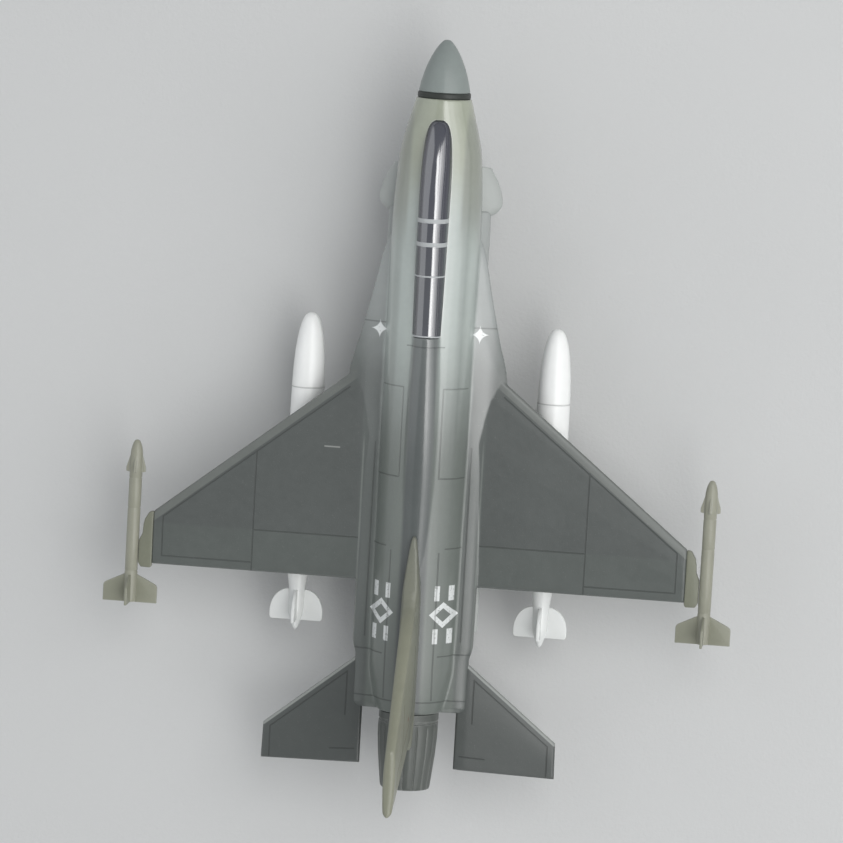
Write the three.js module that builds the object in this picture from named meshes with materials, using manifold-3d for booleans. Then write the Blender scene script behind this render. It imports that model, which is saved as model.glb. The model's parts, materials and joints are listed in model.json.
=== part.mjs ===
// Small die-cast toy jet fighter with free-rolling wheels, in millimetres.
// +Z is up, +Y forward (nose), +X the right wing. z = 0 is the ground under the wheels,
// x = 0 the plane of symmetry and y = 0 half way along the length.
// A "station" is a distance aft of the nose tip; yAt() turns it into y.
import * as THREE from 'three';
import { mergeVertices } from 'three/addons/utils/BufferGeometryUtils.js';
import Module from 'manifold-3d';

const wasm = await Module();
wasm.setup();
const { Manifold, Mesh: ManifoldMesh } = wasm;
const { clamp } = THREE.MathUtils;

// ---------------------------------------------------------------- driving dimensions
const LENGTH = 90.6; // nose tip to the trailing tip of the fin
const NOSE_Y = LENGTH / 2;
const GAP = 0.06; // working clearance between fitted pieces
const SPLIT_Z = 10.9; // parting line between upper casting and lower body

const WING_Z = 12; // mid-plane of the wing
const ENGINE_Z = WING_Z;
const RADOME_Z = 12.1;
const WING_TIP_X = 32.3; // the launch rail goes on outboard of this
const WING_ROOT_X = 9.6;
const WING_ROOT_LEADING = 40.7; // station of the leading edge at WING_ROOT_X
const WING_TRAILING = 65.4; // station of the straight trailing edge

const RADOME_END = 6.2; // stations along the fuselage
const RING_END = 6.9;
const CANOPY_START = 9.4;
const CANOPY_END = 35;
const BARREL_END = 80.8;
const NOZZLE_END = 90.3;

const NOSE_WHEEL = { x: 0, station: 31, radius: 2, width: 1.6, hubRadius: 1.25 };
const MAIN_WHEEL = { x: 6.4, station: 57, radius: 2.5, width: 2, hubRadius: 1.5 };
const AXLE_RADIUS = 0.45;
const AXLE_CLEARANCE = 0.03;
const HUB_BORE_RADIUS = 0.53;

const yAt = (station) => NOSE_Y - station;

// ---------------------------------------------------------------- ranges and outlines
const around = (centre, half) => [centre - half, centre + half];
const widen = ([low, high], by = GAP) => [low - by, high + by];

// completes a right-hand [x, station] outline with its mirror image
const symmetric = (points) => [
  ...points,
  ...points.filter(([x]) => x > 0).reverse().map(([x, station]) => [-x, station]),
];

// grows a [radius, y] profile by GAP; its points on the axis move outward by endGrow
const grownProfile = (profile, endGrow = 0) => profile.map(([radius, y]) => (
  radius > 0 ? [radius + GAP, y] : [0, y + (y === 0 ? endGrow : -endGrow)]
));

const shapeFrom = (points) => new THREE.Shape(points.map(([x, y]) => new THREE.Vector2(x, y)));

// ---------------------------------------------------------------- solid builders
// welds a three.js geometry, drops collapsed triangles and turns its faces outward
function solid(source) {
  source.deleteAttribute('normal');
  source.deleteAttribute('uv');
  const welded = mergeVertices(source, 1e-4);
  const position = welded.attributes.position;
  const index = welded.index.array;
  const corners = [new THREE.Vector3(), new THREE.Vector3(), new THREE.Vector3()];
  const triangles = [];
  let volume = 0;
  for (let i = 0; i < index.length; i += 3) {
    const triangle = [index[i], index[i + 1], index[i + 2]];
    if (new Set(triangle).size < 3) continue;
    triangles.push(triangle);
    corners.forEach((corner, k) => corner.fromBufferAttribute(position, triangle[k]));
    volume += corners[0].dot(corners[1].cross(corners[2])) / 6;
  }
  if (volume < 0) triangles.forEach((triangle) => triangle.reverse());
  return new Manifold(new ManifoldMesh({
    numProp: 3,
    vertProperties: new Float32Array(position.array),
    triVerts: new Uint32Array(triangles.flat()),
  }));
}

const mirrored = (shape) => shape.scale([-1, 1, 1]);
const addPair = (body, shape) => body.add(shape).add(mirrored(shape));
const cutPair = (body, shape) => body.subtract(shape).subtract(mirrored(shape));

// each argument is a [low, high] range
function box([x0, x1], [station0, station1], [z0, z1]) {
  const block = new THREE.BoxGeometry(x1 - x0, station1 - station0, z1 - z0);
  block.translate((x0 + x1) / 2, yAt((station0 + station1) / 2), (z0 + z1) / 2);
  return solid(block);
}

// turns a geometry made along Y onto another axis
function turnTo(axis, geometry) {
  if (axis === 'x') geometry.rotateZ(-Math.PI / 2);
  if (axis === 'z') geometry.rotateX(Math.PI / 2);
  return geometry;
}

function rod(axis, radius, length, segments, at = [0, 0, 0]) {
  const cylinder = new THREE.CylinderGeometry(radius, radius, length, segments);
  return solid(turnTo(axis, cylinder).translate(...at));
}

// revolves a [radius, distance along the axis] profile
function revolve(profile, segments, axis = 'y') {
  const points = profile.map(([radius, y]) => new THREE.Vector2(radius, y));
  return solid(turnTo(axis, new THREE.LatheGeometry(points, segments)));
}

// closed loft through superellipse sections; rake(station, z) moves a point aft
// rows: [station, half width, top z, bottom z, centre z, exponent]
function loft(rows, segments, grow = 0, rake = () => 0) {
  const last = rows.length - 1;
  const tube = new THREE.CylinderGeometry(1, 1, 1, segments, last);
  const position = tube.attributes.position;
  const bulge = (value, exponent) => Math.sign(value) * Math.abs(value) ** (2 / exponent);
  for (let i = 0; i < position.count; i++) {
    const row = rows[Math.round((0.5 - position.getY(i)) * last)];
    const [station, halfWidth, topZ, bottomZ, centreZ, exponent] = row;
    const x = position.getX(i);
    const z = position.getZ(i);
    const radius = Math.hypot(x, z);
    const onAxis = radius < 1e-6; // centre points of the end caps
    const unitX = onAxis ? 0 : bulge(x / radius, exponent);
    const unitZ = onAxis ? 0 : bulge(z / radius, exponent);
    const halfHeight = (unitZ > 0 ? topZ - centreZ : centreZ - bottomZ) + grow;
    const newZ = centreZ + radius * unitZ * halfHeight;
    const newX = radius * unitX * (halfWidth + grow);
    position.setXYZ(i, newX, yAt(station + rake(station, newZ)), newZ);
  }
  return solid(tube);
}

// flat plate from an [x, station] outline
function plateGeometry(outline, [z0, z1], bevel = 0) {
  const shape = shapeFrom(outline.map(([x, station]) => [x, yAt(station)]));
  return new THREE.ExtrudeGeometry(shape, {
    depth: z1 - z0 - 2 * bevel,
    bevelEnabled: bevel > 0,
    bevelThickness: bevel,
    bevelSize: bevel,
    bevelOffset: -bevel,
    bevelSegments: 1,
    steps: 1,
  }).translate(0, 0, z0 + bevel);
}
const plate = (...options) => solid(plateGeometry(...options));

// upright plate from a [station, z] outline; half thickness runs from halfLow to halfHigh
function blade(outline, halfLow, halfHigh = halfLow, lowZ = 0, highZ = 1) {
  const shape = shapeFrom(outline.map(([station, z]) => [yAt(station), z]));
  const slab = new THREE.ExtrudeGeometry(shape, { depth: 2, bevelEnabled: false, steps: 1 });
  slab.translate(0, 0, -1);
  const position = slab.attributes.position;
  for (let i = 0; i < position.count; i++) {
    const y = position.getX(i);
    const z = position.getY(i);
    const side = position.getZ(i);
    const rise = clamp((z - lowZ) / (highZ - lowZ), 0, 1);
    position.setXYZ(i, side * (halfLow + (halfHigh - halfLow) * rise), y, z);
  }
  return solid(slab);
}

// four fins round the Y axis from an outline of [radius, distance aft]
function finSet(outline, half) {
  const shape = shapeFrom(outline.map(([radius, aft]) => [radius, -aft]));
  const fins = [0, 1, 2, 3].map((quarter) => {
    const options = { depth: 2 * half, bevelEnabled: false, steps: 1 };
    const fin = new THREE.ExtrudeGeometry(shape, options);
    return solid(fin.translate(0, 0, -half).rotateY((quarter * Math.PI) / 2));
  });
  return fins.reduce((joined, fin) => joined.add(fin));
}

// ---------------------------------------------------------------- wing, right side
const WING_SPAN = [0, WING_ROOT_X, 20.1, WING_TIP_X]; // x of each section
const WING_SECTION = [ // [fraction of chord, fraction of full thickness]
  [0, 0.22], [0.04, 0.5], [0.12, 0.8], [0.35, 1], [0.6, 0.92], [0.85, 0.5], [1, 0.22],
];
const WING_SWEEP = 0.8026; // leading edge, mm aft per mm outboard
const WING_HALF_THICKNESS = 0.78; // at x = 0
const WING_THINNING = 0.33; // half thickness lost by the tip

function wing(grow = 0) {
  const bays = WING_SPAN.length - 1;
  const strips = WING_SECTION.length - 1;
  const panel = new THREE.BoxGeometry(1, 1, 1, bays, strips, 1);
  const position = panel.attributes.position;
  const trailing = WING_TRAILING + grow;
  for (let i = 0; i < position.count; i++) {
    const x = WING_SPAN[Math.round((position.getX(i) + 0.5) * bays)];
    const [chord, thickness] = WING_SECTION[Math.round((0.5 - position.getY(i)) * strips)];
    const leading = WING_ROOT_LEADING + (x - WING_ROOT_X) * WING_SWEEP - grow;
    const fullHalf = WING_HALF_THICKNESS - (WING_THINNING * x) / WING_TIP_X;
    const z = WING_Z + Math.sign(position.getZ(i)) * (fullHalf * thickness + grow);
    position.setXYZ(i, x, yAt(leading + (trailing - leading) * chord), z);
  }
  return solid(panel);
}

// ---------------------------------------------------------------- fuselage
// all loft tables: [station, half width, top z, bottom z, centre z, exponent]
const CORE_ROWS = [
  [6.95, 3.3, 15.3, 9, 12.1, 2],
  [9.4, 3.95, 15.75, 8.6, 12, 2.1],
  [11.5, 4.5, 16, 8.3, 12, 2.2],
  [13.7, 4.9, 16.2, 8.05, 12, 2.2],
  [17, 5.15, 16.45, 7.8, 12, 2.2],
  [20, 5.3, 16.7, 7.6, 12, 2.2],
  [26, 5.35, 16.9, 7.4, 12, 2.2],
  [35, 5.35, 17, 7.2, 12, 2.1],
  [46, 5.3, 16.9, 6.9, 12, 2.1],
  [58, 5.25, 16.75, 6.6, 12, 2],
  [68, 5.2, 16.6, 6.7, 12, 2],
  [75, 5.1, 16.4, 7, 12, 2],
  [78.5, 4.6, 16.1, 7.6, 12, 2],
  [BARREL_END, 3.95, 15.85, 8.15, 12, 2],
];
const SPINE_ROWS = [
  [CANOPY_END + GAP, 1.76, 18.2, 14.2, 15.6, 2.2],
  [42, 2.1, 17.9, 14.2, 15.4, 2.2],
  [52, 2.3, 17.35, 14, 15.2, 2.2],
  [60, 2, 17, 13.8, 15, 2.2],
  [68, 1.4, 16.5, 13.6, 15, 2.2],
];
const DUCT_ROWS = [
  [20.3, 6.1, 10.85, 6, 9.3, 2.7],
  [24, 6.15, 11.2, 5.9, 9.3, 2.7],
  [35, 6.15, 11.2, 5.9, 9.3, 2.7],
  [48, 5.9, 11.2, 6, 9.3, 2.6],
  [60, 5.3, 11.2, 6.3, 9.3, 2.4],
  [67, 4.3, 11.2, 6.8, 9.3, 2.2],
];
// flat shelf along both flanks, right half as [x, station]
const SHELF_OUTLINE = [
  [0, 22.5], [4.6, 22.5], [5.9, 24.5], [WING_ROOT_X, WING_ROOT_LEADING], [9.7, 46],
  [7.3, 48.5], [7.3, 72.6], [6.9, 74.5], [6.9, BARREL_END - 0.6], [6.3, BARREL_END],
  [0, BARREL_END],
];
const CORE_SEGMENTS = 24;
const core = loft(CORE_ROWS, CORE_SEGMENTS);
const shelf = plate(symmetric(SHELF_OUTLINE), around(WING_Z, 0.85), 0.45);

// ---------------------------------------------------------------- canopy and cockpit
const CANOPY_ROWS = [
  [CANOPY_START, 0.75, 15.9, 14.6, 15.3, 2],
  [10.4, 1.2, 16.6, 14.4, 15.4, 2],
  [12.2, 1.6, 17.5, 14.2, 15.7, 2.2],
  [15, 1.8, 18.5, 14, 16, 2.4],
  [18.5, 1.84, 19.1, 13.8, 16.2, 2.4],
  [23, 1.82, 19.15, 13.8, 16.2, 2.4],
  [28, 1.78, 18.75, 13.8, 16.1, 2.4],
  [CANOPY_END, 1.72, 18.2, 13.8, 16, 2.3],
];
const CANOPY_SEGMENTS = 16;
const CANOPY_WALL = 0.45;
const SILL_Z = 15.3; // lower rim of the canopy

// moves the first and last loft sections aft
const shiftEnds = (rows, first, last) => rows.map(([station, ...section], i) => {
  if (i === 0) return [station + first, ...section];
  return [i === rows.length - 1 ? station + last : station, ...section];
});
const aboveSill = (sillZ) => box([-5, 5], [0, 60], [sillZ, 40]);

function canopy() {
  const innerRows = shiftEnds(CANOPY_ROWS, 0.7, -0.6).map(
    ([station, halfWidth, topZ, ...rest]) => (
      [station, halfWidth - CANOPY_WALL, topZ - CANOPY_WALL, ...rest]
    ),
  );
  return loft(CANOPY_ROWS, CANOPY_SEGMENTS)
    .intersect(aboveSill(SILL_Z))
    .subtract(loft(innerRows, CANOPY_SEGMENTS));
}
const canopySeat = loft(shiftEnds(CANOPY_ROWS, -GAP, GAP - 0.01), CANOPY_SEGMENTS, GAP)
  .intersect(aboveSill(SILL_Z - GAP));

const POCKET_X = around(0, 1.35);
const POCKET_STATIONS = [12.4, 31.6];
const POCKET_FLOOR_Z = 13.3;
const cockpitPocket = box(POCKET_X, POCKET_STATIONS, [POCKET_FLOOR_Z, 17]);

function cockpitTub() {
  const outside = box(
    widen(POCKET_X, -GAP),
    widen(POCKET_STATIONS, -GAP),
    [POCKET_FLOOR_Z + GAP, 15.2],
  );
  return outside.subtract(box(around(0, 0.95), [13, 31], [13.75, 16]));
}

function ejectionSeat() {
  const back = [[23.2, 13.8], [24.6, 13.8], [25.2, 17.6], [24.4, 17.7], [23.2, 14.9]];
  return box(around(0, 0.8), [21.4, 24.2], [13.8, 14.9])
    .add(blade(back, 0.8, 0.6, 14.5, 17.6));
}

function instrumentCoaming() {
  const side = [[14, 13.8], [17.2, 13.8], [17.2, 16], [16.4, 16.7], [14.4, 16]];
  return blade(side, 0.85, 0.7, 13.8, 16.7);
}

// ---------------------------------------------------------------- vertical fin
const FIN_TOP_Z = 30.6;
const FIN_OUTLINE = [ // [station, z]
  [58.8, 16.2], [59, 17.2], [60.6, 17.6], [66.2, 18.3], [82.6, FIN_TOP_Z],
  [LENGTH, FIN_TOP_Z], [84.2, 17.2], [83.9, 15.75], [80.7, 15.75], [80.7, 15.2], [60, 15.2],
];
const FIN_SEAT_OUTLINE = [
  [58.7, 14.9], [58.7, 17.4], [66.2, 18.6], [75, 25], [84.4, 25], [84.4, 14.9],
];
// seen from above the front of the fin narrows to a spear point; right half, [x, station]
const SPEAR_OUTLINE = [[0.3, 58.6], [0.62, 60.5], [1, 64], [1.25, 68], [1.25, 92]];
const FIN_HALF = 1.2;
const TANG_X = around(0, 0.6);
const TANG_STATIONS = [64, 76];
const TANG_Z = [13.4, 16];

function spear(grow = 0) {
  const outline = SPEAR_OUTLINE.map(([x, station]) => [x + grow, station]);
  return plate(symmetric(outline), [13, 32]);
}
const verticalFin = () => blade(FIN_OUTLINE, FIN_HALF, 0.68, 16, FIN_TOP_Z)
  .intersect(spear())
  .add(box(TANG_X, TANG_STATIONS, TANG_Z));
const finSeat = blade(FIN_SEAT_OUTLINE, FIN_HALF + GAP, 0.88 + GAP, 16, 25)
  .intersect(spear(GAP))
  .add(box(widen(TANG_X), widen(TANG_STATIONS), [TANG_Z[0] - GAP, TANG_Z[1]]));

// ---------------------------------------------------------------- tailplane, right side
const TAIL_OUTLINE = [ // [x, station]
  [6.96, 74.9], [17.8, 83.9], [17.9, 88.3], [5.7, 87.8], [5.7, 80.86], [6.96, 80.86],
];
const TAIL_Z = 11.9;
const TAIL_TAPER = { start: 7, run: 11, thinning: 0.3, droop: 1.2 }; // toward the tip
const TAB_X = 4.9; // inner end of the tab that plugs into the shelf
const TAB_STATIONS = [76.6, 79.6];
const TAB_Z = around(TAIL_Z, 0.3);

function tailplane() {
  const panel = plateGeometry(TAIL_OUTLINE, around(TAIL_Z, 0.5), 0.25);
  const position = panel.attributes.position;
  const { start, run, thinning, droop } = TAIL_TAPER;
  for (let i = 0; i < position.count; i++) {
    const outboard = Math.max(0, position.getX(i) - start) / run;
    const offset = (position.getZ(i) - TAIL_Z) * (1 - thinning * outboard);
    position.setZ(i, TAIL_Z + offset - droop * outboard);
  }
  return solid(panel).add(box([TAB_X, 7.3], TAB_STATIONS, TAB_Z));
}
const tailSlot = box([TAB_X - GAP, 7.4], widen(TAB_STATIONS), widen(TAB_Z));

// ---------------------------------------------------------------- store and pylon, right side
const STORE_X = 14.9;
const STORE_AT = [STORE_X, yAt(34), 8]; // nose of the store
const STORE_SEGMENTS = 20;
const STORE_PROFILE = [ // [radius, y from the store's nose]
  [0, 0], [0.45, -0.1], [0.8, -0.45], [1.15, -1.2], [1.5, -2.6], [1.8, -5], [1.95, -8],
  [2, -12], [2, -20], [1.85, -25.5], [1.55, -29.5], [1.22, -32], [0.95, -34.4],
  [0.9, -36.6], [0.5, -37.8], [0, -38.9],
];
const STORE_FIN = [ // [radius, distance aft]
  [0.36, 33.8], [1, 33.8], [2.1, 34.3], [2.9, 35.3], [3.25, 36.6], [3.1, 37.6], [0.36, 37.6],
];
const PYLON_OUTLINE = [[46.6, 12.2], [47.6, 9.2], [60.2, 9.2], [61.6, 12.2]]; // [station, z]
const PYLON_TAB_X = around(STORE_X, 0.3);
const PYLON_TAB_STATIONS = [51, 56];

const store = () => revolve(STORE_PROFILE, STORE_SEGMENTS).add(finSet(STORE_FIN, 0.2));

// trimmed to the underside of the wing and the top of the store
function pylon() {
  const storeClearance = revolve(grownProfile(STORE_PROFILE, GAP), STORE_SEGMENTS);
  return blade(PYLON_OUTLINE, 0.5)
    .translate([STORE_X, 0, 0])
    .subtract(wing(GAP))
    .subtract(box(around(STORE_X, 1), [40, 66], [WING_Z, 20]))
    .subtract(storeClearance.translate(STORE_AT))
    .add(box(PYLON_TAB_X, PYLON_TAB_STATIONS, [10.6, WING_Z]));
}
const pylonSlot = box(widen(PYLON_TAB_X), widen(PYLON_TAB_STATIONS), [10, WING_Z + GAP]);

// ---------------------------------------------------------------- missile and launch rail
const MISSILE_X = 34.75;
const MISSILE_AT = [MISSILE_X, yAt(50.4), WING_Z]; // nose of the missile
const MISSILE_RADIUS = 0.775;
const MISSILE_SEGMENTS = 14;
const MISSILE_PROFILE = [ // [radius, y from the missile's nose]
  [0, 0], [0.38, -0.35], [0.7, -1.2], [MISSILE_RADIUS, -2.2], [MISSILE_RADIUS, -19.4],
  [0.55, -20], [0, -20],
];
// fin outlines: [radius, distance aft]
const FRONT_FIN = [[0.31, 1.6], [0.7, 1.7], [1.2, 3.4], [1.2, 3.95], [0.31, 3.95]];
const REAR_FIN = [[0.31, 16.4], [3, 17.5], [3.3, 17.9], [3.3, 19.9], [0.31, 19.8]];
const REAR_FIN_SLOT = [[0.31, 16.3], [3.6, 17.9], [3.6, 20], [0.31, 20]];
const REAR_FIN_HALF = 0.17;
const RAIL_INNER_X = WING_TIP_X + 0.02;
const RAIL_OUTER_X = MISSILE_X - MISSILE_RADIUS - GAP;
const RAIL_OUTLINE = [ // [x, station]
  [RAIL_INNER_X, 59], [WING_TIP_X + 0.55, 59.1], [WING_TIP_X + 1.05, 60],
  [WING_TIP_X + 1.25, 61.6], [RAIL_OUTER_X, 62.6], [RAIL_OUTER_X, 65.4],
  [MISSILE_X - 1.2, 65.9], [RAIL_INNER_X, 65.9],
];

const missile = () => revolve(MISSILE_PROFILE, MISSILE_SEGMENTS)
  .add(finSet(FRONT_FIN, 0.14))
  .add(finSet(REAR_FIN, REAR_FIN_HALF));

const launchRail = () => plate(RAIL_OUTLINE, around(WING_Z, 0.5), 0.12)
  .subtract(revolve(grownProfile(MISSILE_PROFILE), MISSILE_SEGMENTS).translate(MISSILE_AT))
  .subtract(finSet(REAR_FIN_SLOT, REAR_FIN_HALF + GAP).translate(MISSILE_AT));

// ---------------------------------------------------------------- screws
const SCREWS = [
  { name: 'front_screw', station: 36.5, headZ: 6.05, tipZ: 13.4 },
  { name: 'rear_screw', station: 69.5, headZ: 7, tipZ: 12.6 },
];

// head down, with a cross slot
function screw({ station, headZ, tipZ }) {
  const length = tipZ - headZ;
  const profile = [
    [0, 0], [1, 0], [1.2, 0.25], [1.2, 0.8], [0.62, 0.8], [0.62, length - 0.4],
    [0.3, length], [0, length],
  ];
  const slotZ = [headZ - 1, headZ + 0.4];
  return revolve(profile, 14, 'z')
    .translate([0, yAt(station), headZ])
    .subtract(box(around(0, 0.16), around(station, 0.75), slotZ))
    .subtract(box(around(0, 0.75), around(station, 0.16), slotZ));
}

// ---------------------------------------------------------------- landing gear
const axleHole = ({ station, radius }, x, length) => (
  rod('x', AXLE_RADIUS + AXLE_CLEARANCE, length, 16, [x, yAt(station), radius])
);

const NOSE_PLUG_X = around(0, 1);
const NOSE_PLUG_STATIONS = around(NOSE_WHEEL.station, 1.3);
const NOSE_PLUG_TOP_Z = 8;

// a fork straddling the wheel, with a plug on top
function noseLeg() {
  const { station, width } = NOSE_WHEEL;
  return box(around(0, width / 2 + 0.6), around(station, 0.8), [1.4, 5.8])
    .add(box(NOSE_PLUG_X, NOSE_PLUG_STATIONS, [5.3, NOSE_PLUG_TOP_Z]))
    .subtract(box(around(0, width / 2 + 0.1), around(station, 3), [0, 4.35]))
    .subtract(axleHole(NOSE_WHEEL, 0, 6));
}
const noseLegSocket = box(
  widen(NOSE_PLUG_X),
  widen(NOSE_PLUG_STATIONS),
  [4, NOSE_PLUG_TOP_Z + GAP],
);

// the main leg stands on the inboard side of its wheel
const LEG_HALF = 0.5;
const LEG_X = MAIN_WHEEL.x - MAIN_WHEEL.width / 2 - 0.15 - LEG_HALF;
const LEG_HALF_LENGTH = 1.7;
const LEG_TOP_Z = 9.6;
const LEG_OUTLINE = [ // [offset from the wheel's station, z]
  [-LEG_HALF_LENGTH, LEG_TOP_Z], [LEG_HALF_LENGTH, LEG_TOP_Z], [LEG_HALF_LENGTH, 7.2],
  [0.85, 1.7], [-0.85, 1.7], [-LEG_HALF_LENGTH, 7.2],
];

function mainLeg() {
  const outline = LEG_OUTLINE.map(([offset, z]) => [MAIN_WHEEL.station + offset, z]);
  return blade(outline, LEG_HALF)
    .translate([LEG_X, 0, 0])
    .subtract(axleHole(MAIN_WHEEL, LEG_X, 4));
}
const mainLegSocket = box(
  around(LEG_X, LEG_HALF + GAP),
  around(MAIN_WHEEL.station, LEG_HALF_LENGTH + GAP),
  [4, LEG_TOP_Z + GAP],
);

// shaft with a retaining head outboard of the wheel
function mainAxle() {
  const headThickness = 0.35;
  const inner = LEG_X - 0.7;
  const headX = MAIN_WHEEL.x + MAIN_WHEEL.width / 2 + 0.12;
  const outer = headX + headThickness;
  return rod('x', AXLE_RADIUS, outer - inner, 16, [(inner + outer) / 2, 0, 0])
    .add(rod('x', 0.85, headThickness, 16, [headX + headThickness / 2, 0, 0]));
}
const noseAxle = () => rod('x', AXLE_RADIUS, NOSE_WHEEL.width + 1.5, 16);

function tyre({ radius, width, hubRadius }) {
  const half = width / 2;
  return revolve([
    [hubRadius, -half * 0.8], [radius * 0.78, -half], [radius * 0.94, -half * 0.8],
    [radius, -half * 0.4], [radius, half * 0.4], [radius * 0.94, half * 0.8],
    [radius * 0.78, half], [hubRadius, half * 0.8], [hubRadius, -half * 0.8],
  ], 24, 'x');
}

function hub({ width, hubRadius }) {
  const half = width / 2;
  const bore = HUB_BORE_RADIUS;
  const rim = hubRadius - 0.02;
  const dish = hubRadius - 0.25;
  return revolve([
    [bore, -half], [bore + 0.3, -half], [bore + 0.35, -half * 0.5], [dish, -half * 0.5],
    [rim, -half * 0.78], [rim, half * 0.78], [dish, half * 0.5], [bore + 0.35, half * 0.5],
    [bore + 0.3, half], [bore, half], [bore, -half],
  ], 24, 'x');
}

// ---------------------------------------------------------------- belly
const bellyPad = box(around(0, 3.4), [40, 50], [5.6, 8]);
const ventralFin = blade([[61.5, 8.6], [63.4, 4.9], [70.2, 5.1], [71.5, 8.6]], 0.28)
  .rotate([0, -14, 0]) // lower edge outboard
  .translate([5, 0, 0.3]);

// ---------------------------------------------------------------- intake cowl
const COWL_ROWS = [
  [15, 6, 10.4, 6.3, 8.9, 2.3],
  [17.5, 6.85, 10.5, 5.7, 8.9, 2.4],
  [19.9, 7.4, 10.5, 5.4, 8.9, 2.5],
  [20.25, 7.25, 10.4, 5.5, 8.9, 2.5],
];
const MOUTH_ROWS = [
  [14, 4.9, 9.6, 7.3, 8.7, 2.3],
  [15, 5.4, 9.8, 6.9, 8.7, 2.3],
  [17.5, 6.2, 9.9, 6.3, 8.7, 2.4],
  [19.4, 6.3, 9.9, 6.1, 8.7, 2.4],
];

// wrapped round the underside of the nose, lower lip further aft than the upper
function intakeCowl() {
  const rake = (station, z) => Math.max(0, 0.3 * (10.4 - z)) * clamp((19 - station) / 4, 0, 1);
  return loft(COWL_ROWS, 22, 0, rake)
    .subtract(loft(CORE_ROWS, CORE_SEGMENTS, GAP))
    .subtract(loft(MOUTH_ROWS, 22, 0, rake));
}

// ---------------------------------------------------------------- nose and tail ends
// profiles are [radius, y from the nose tip]
const SPIGOT_RADIUS = 1.4;
const SPIGOT_BORE = SPIGOT_RADIUS + GAP;
const RADOME_RADIUS = 3.05;
const spigotHole = rod('y', SPIGOT_BORE, 4, 16, [0, yAt(RING_END) - 1, RADOME_Z]);

const radome = () => revolve([
  [0, 0], [0.5, -0.25], [1.1, -0.85], [1.75, -1.9], [2.35, -3.2], [2.8, -4.7],
  [RADOME_RADIUS, -RADOME_END], [SPIGOT_RADIUS, -RADOME_END], [SPIGOT_RADIUS, -9.4], [0, -9.4],
], 20);

function noseRing() {
  const front = -RADOME_END - 0.02;
  return revolve([
    [SPIGOT_BORE, front], [RADOME_RADIUS + 0.1, front], [RADOME_RADIUS + 0.12, -RING_END],
    [SPIGOT_BORE, -RING_END], [SPIGOT_BORE, front],
  ], 20);
}

const PLUG_RADIUS = 2.3; // nozzle plug inside the fuselage
const PLUG_DEPTH = 3;
const nozzleHole = rod('y', PLUG_RADIUS + GAP, 2 * PLUG_DEPTH, 24, [
  0, yAt(BARREL_END) + GAP, ENGINE_Z,
]);

function exhaustNozzle() {
  const plugEnd = -BARREL_END + PLUG_DEPTH;
  const front = -BARREL_END - 0.05;
  return revolve([
    [0, plugEnd], [PLUG_RADIUS, plugEnd], [PLUG_RADIUS, front], [3.6, front], [3.62, -83],
    [3.3, -87], [2.95, -NOZZLE_END], [2.65, -NOZZLE_END], [2.75, -87], [2.75, -84.6],
    [0, -84.6],
  ], 24);
}

// disc with a raised centre and six vanes
function turbineFace() {
  let face = revolve([
    [0, -85.2], [0.5, -85.1], [0.75, -84.9], [2.65, -84.9], [2.65, -84.65], [0, -84.65],
  ], 20);
  for (let i = 0; i < 6; i++) {
    const vane = new THREE.BoxGeometry(0.16, 0.22, 1.7);
    face = face.add(solid(vane.translate(0, -85, 1.6).rotateY((i * Math.PI) / 3)));
  }
  return face;
}

// ---------------------------------------------------------------- the two body halves
const halfSpace = (zRange) => box([-50, 50], [-5, 100], zRange);

function upperCasting() {
  let body = addPair(core.add(loft(SPINE_ROWS, 14)).add(shelf), wing())
    .intersect(halfSpace([SPLIT_Z + GAP / 2, 60]));
  for (const cut of [canopySeat, cockpitPocket, finSeat, spigotHole, nozzleHole]) {
    body = body.subtract(cut);
  }
  body = cutPair(cutPair(body, tailSlot), pylonSlot);
  for (const { station, tipZ } of SCREWS) {
    body = body.subtract(rod('z', 0.7, 10, 14, [0, yAt(station), tipZ + 0.1 - 5]));
  }
  return body;
}

function lowerBody() {
  const hull = core.add(loft(DUCT_ROWS, 22)).add(bellyPad)
    .intersect(halfSpace([-10, SPLIT_Z - GAP / 2]));
  let body = addPair(hull, ventralFin);
  for (const cut of [spigotHole, nozzleHole, noseLegSocket]) body = body.subtract(cut);
  body = cutPair(body, mainLegSocket);
  for (const { station, headZ } of SCREWS) {
    body = body
      .subtract(rod('z', 0.75, 12, 14, [0, yAt(station), 10])) // shank
      .subtract(rod('z', 1.35, 8, 16, [0, yAt(station), headZ + 0.86 - 4])); // head
  }
  return body;
}

// ---------------------------------------------------------------- assembly
const FINISHES = {
  greyPaint: { color: 0x5f6461, roughness: 0.5, metalness: 0.3 },
  lightPlastic: { color: 0x9ea2a0, roughness: 0.5, metalness: 0 },
  darkPlastic: { color: 0x2c302e, roughness: 0.6, metalness: 0 },
  radomeGrey: { color: 0x8a928f, roughness: 0.5, metalness: 0 },
  canopyTint: { color: 0x36384a, roughness: 0.08, metalness: 0 },
  creamPlastic: { color: 0xa0a092, roughness: 0.5, metalness: 0 },
  whitePlastic: { color: 0xf2f2f0, roughness: 0.4, metalness: 0 },
  finGrey: { color: 0x7d7f75, roughness: 0.5, metalness: 0 },
  engineGrey: { color: 0x656862, roughness: 0.5, metalness: 0.2 },
  steel: { color: 0xb8b8b4, roughness: 0.35, metalness: 1 },
  tyreBlack: { color: 0x1c1c1c, roughness: 0.85, metalness: 0 },
};
const root = new THREE.Group();

function toGeometry(shape) {
  const { vertProperties, triVerts } = shape.getMesh();
  const geometry = new THREE.BufferGeometry();
  const position = new THREE.BufferAttribute(new Float32Array(vertProperties), 3);
  geometry.setAttribute('position', position);
  geometry.setIndex(Array.from(triVerts));
  geometry.computeVertexNormals();
  return geometry;
}

function put(name, shape, finish, at = [0, 0, 0], parent = root) {
  const material = new THREE.MeshStandardMaterial(FINISHES[finish]);
  const mesh = new THREE.Mesh(toGeometry(shape), material);
  mesh.name = name;
  mesh.position.set(...at);
  parent.add(mesh);
}

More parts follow.
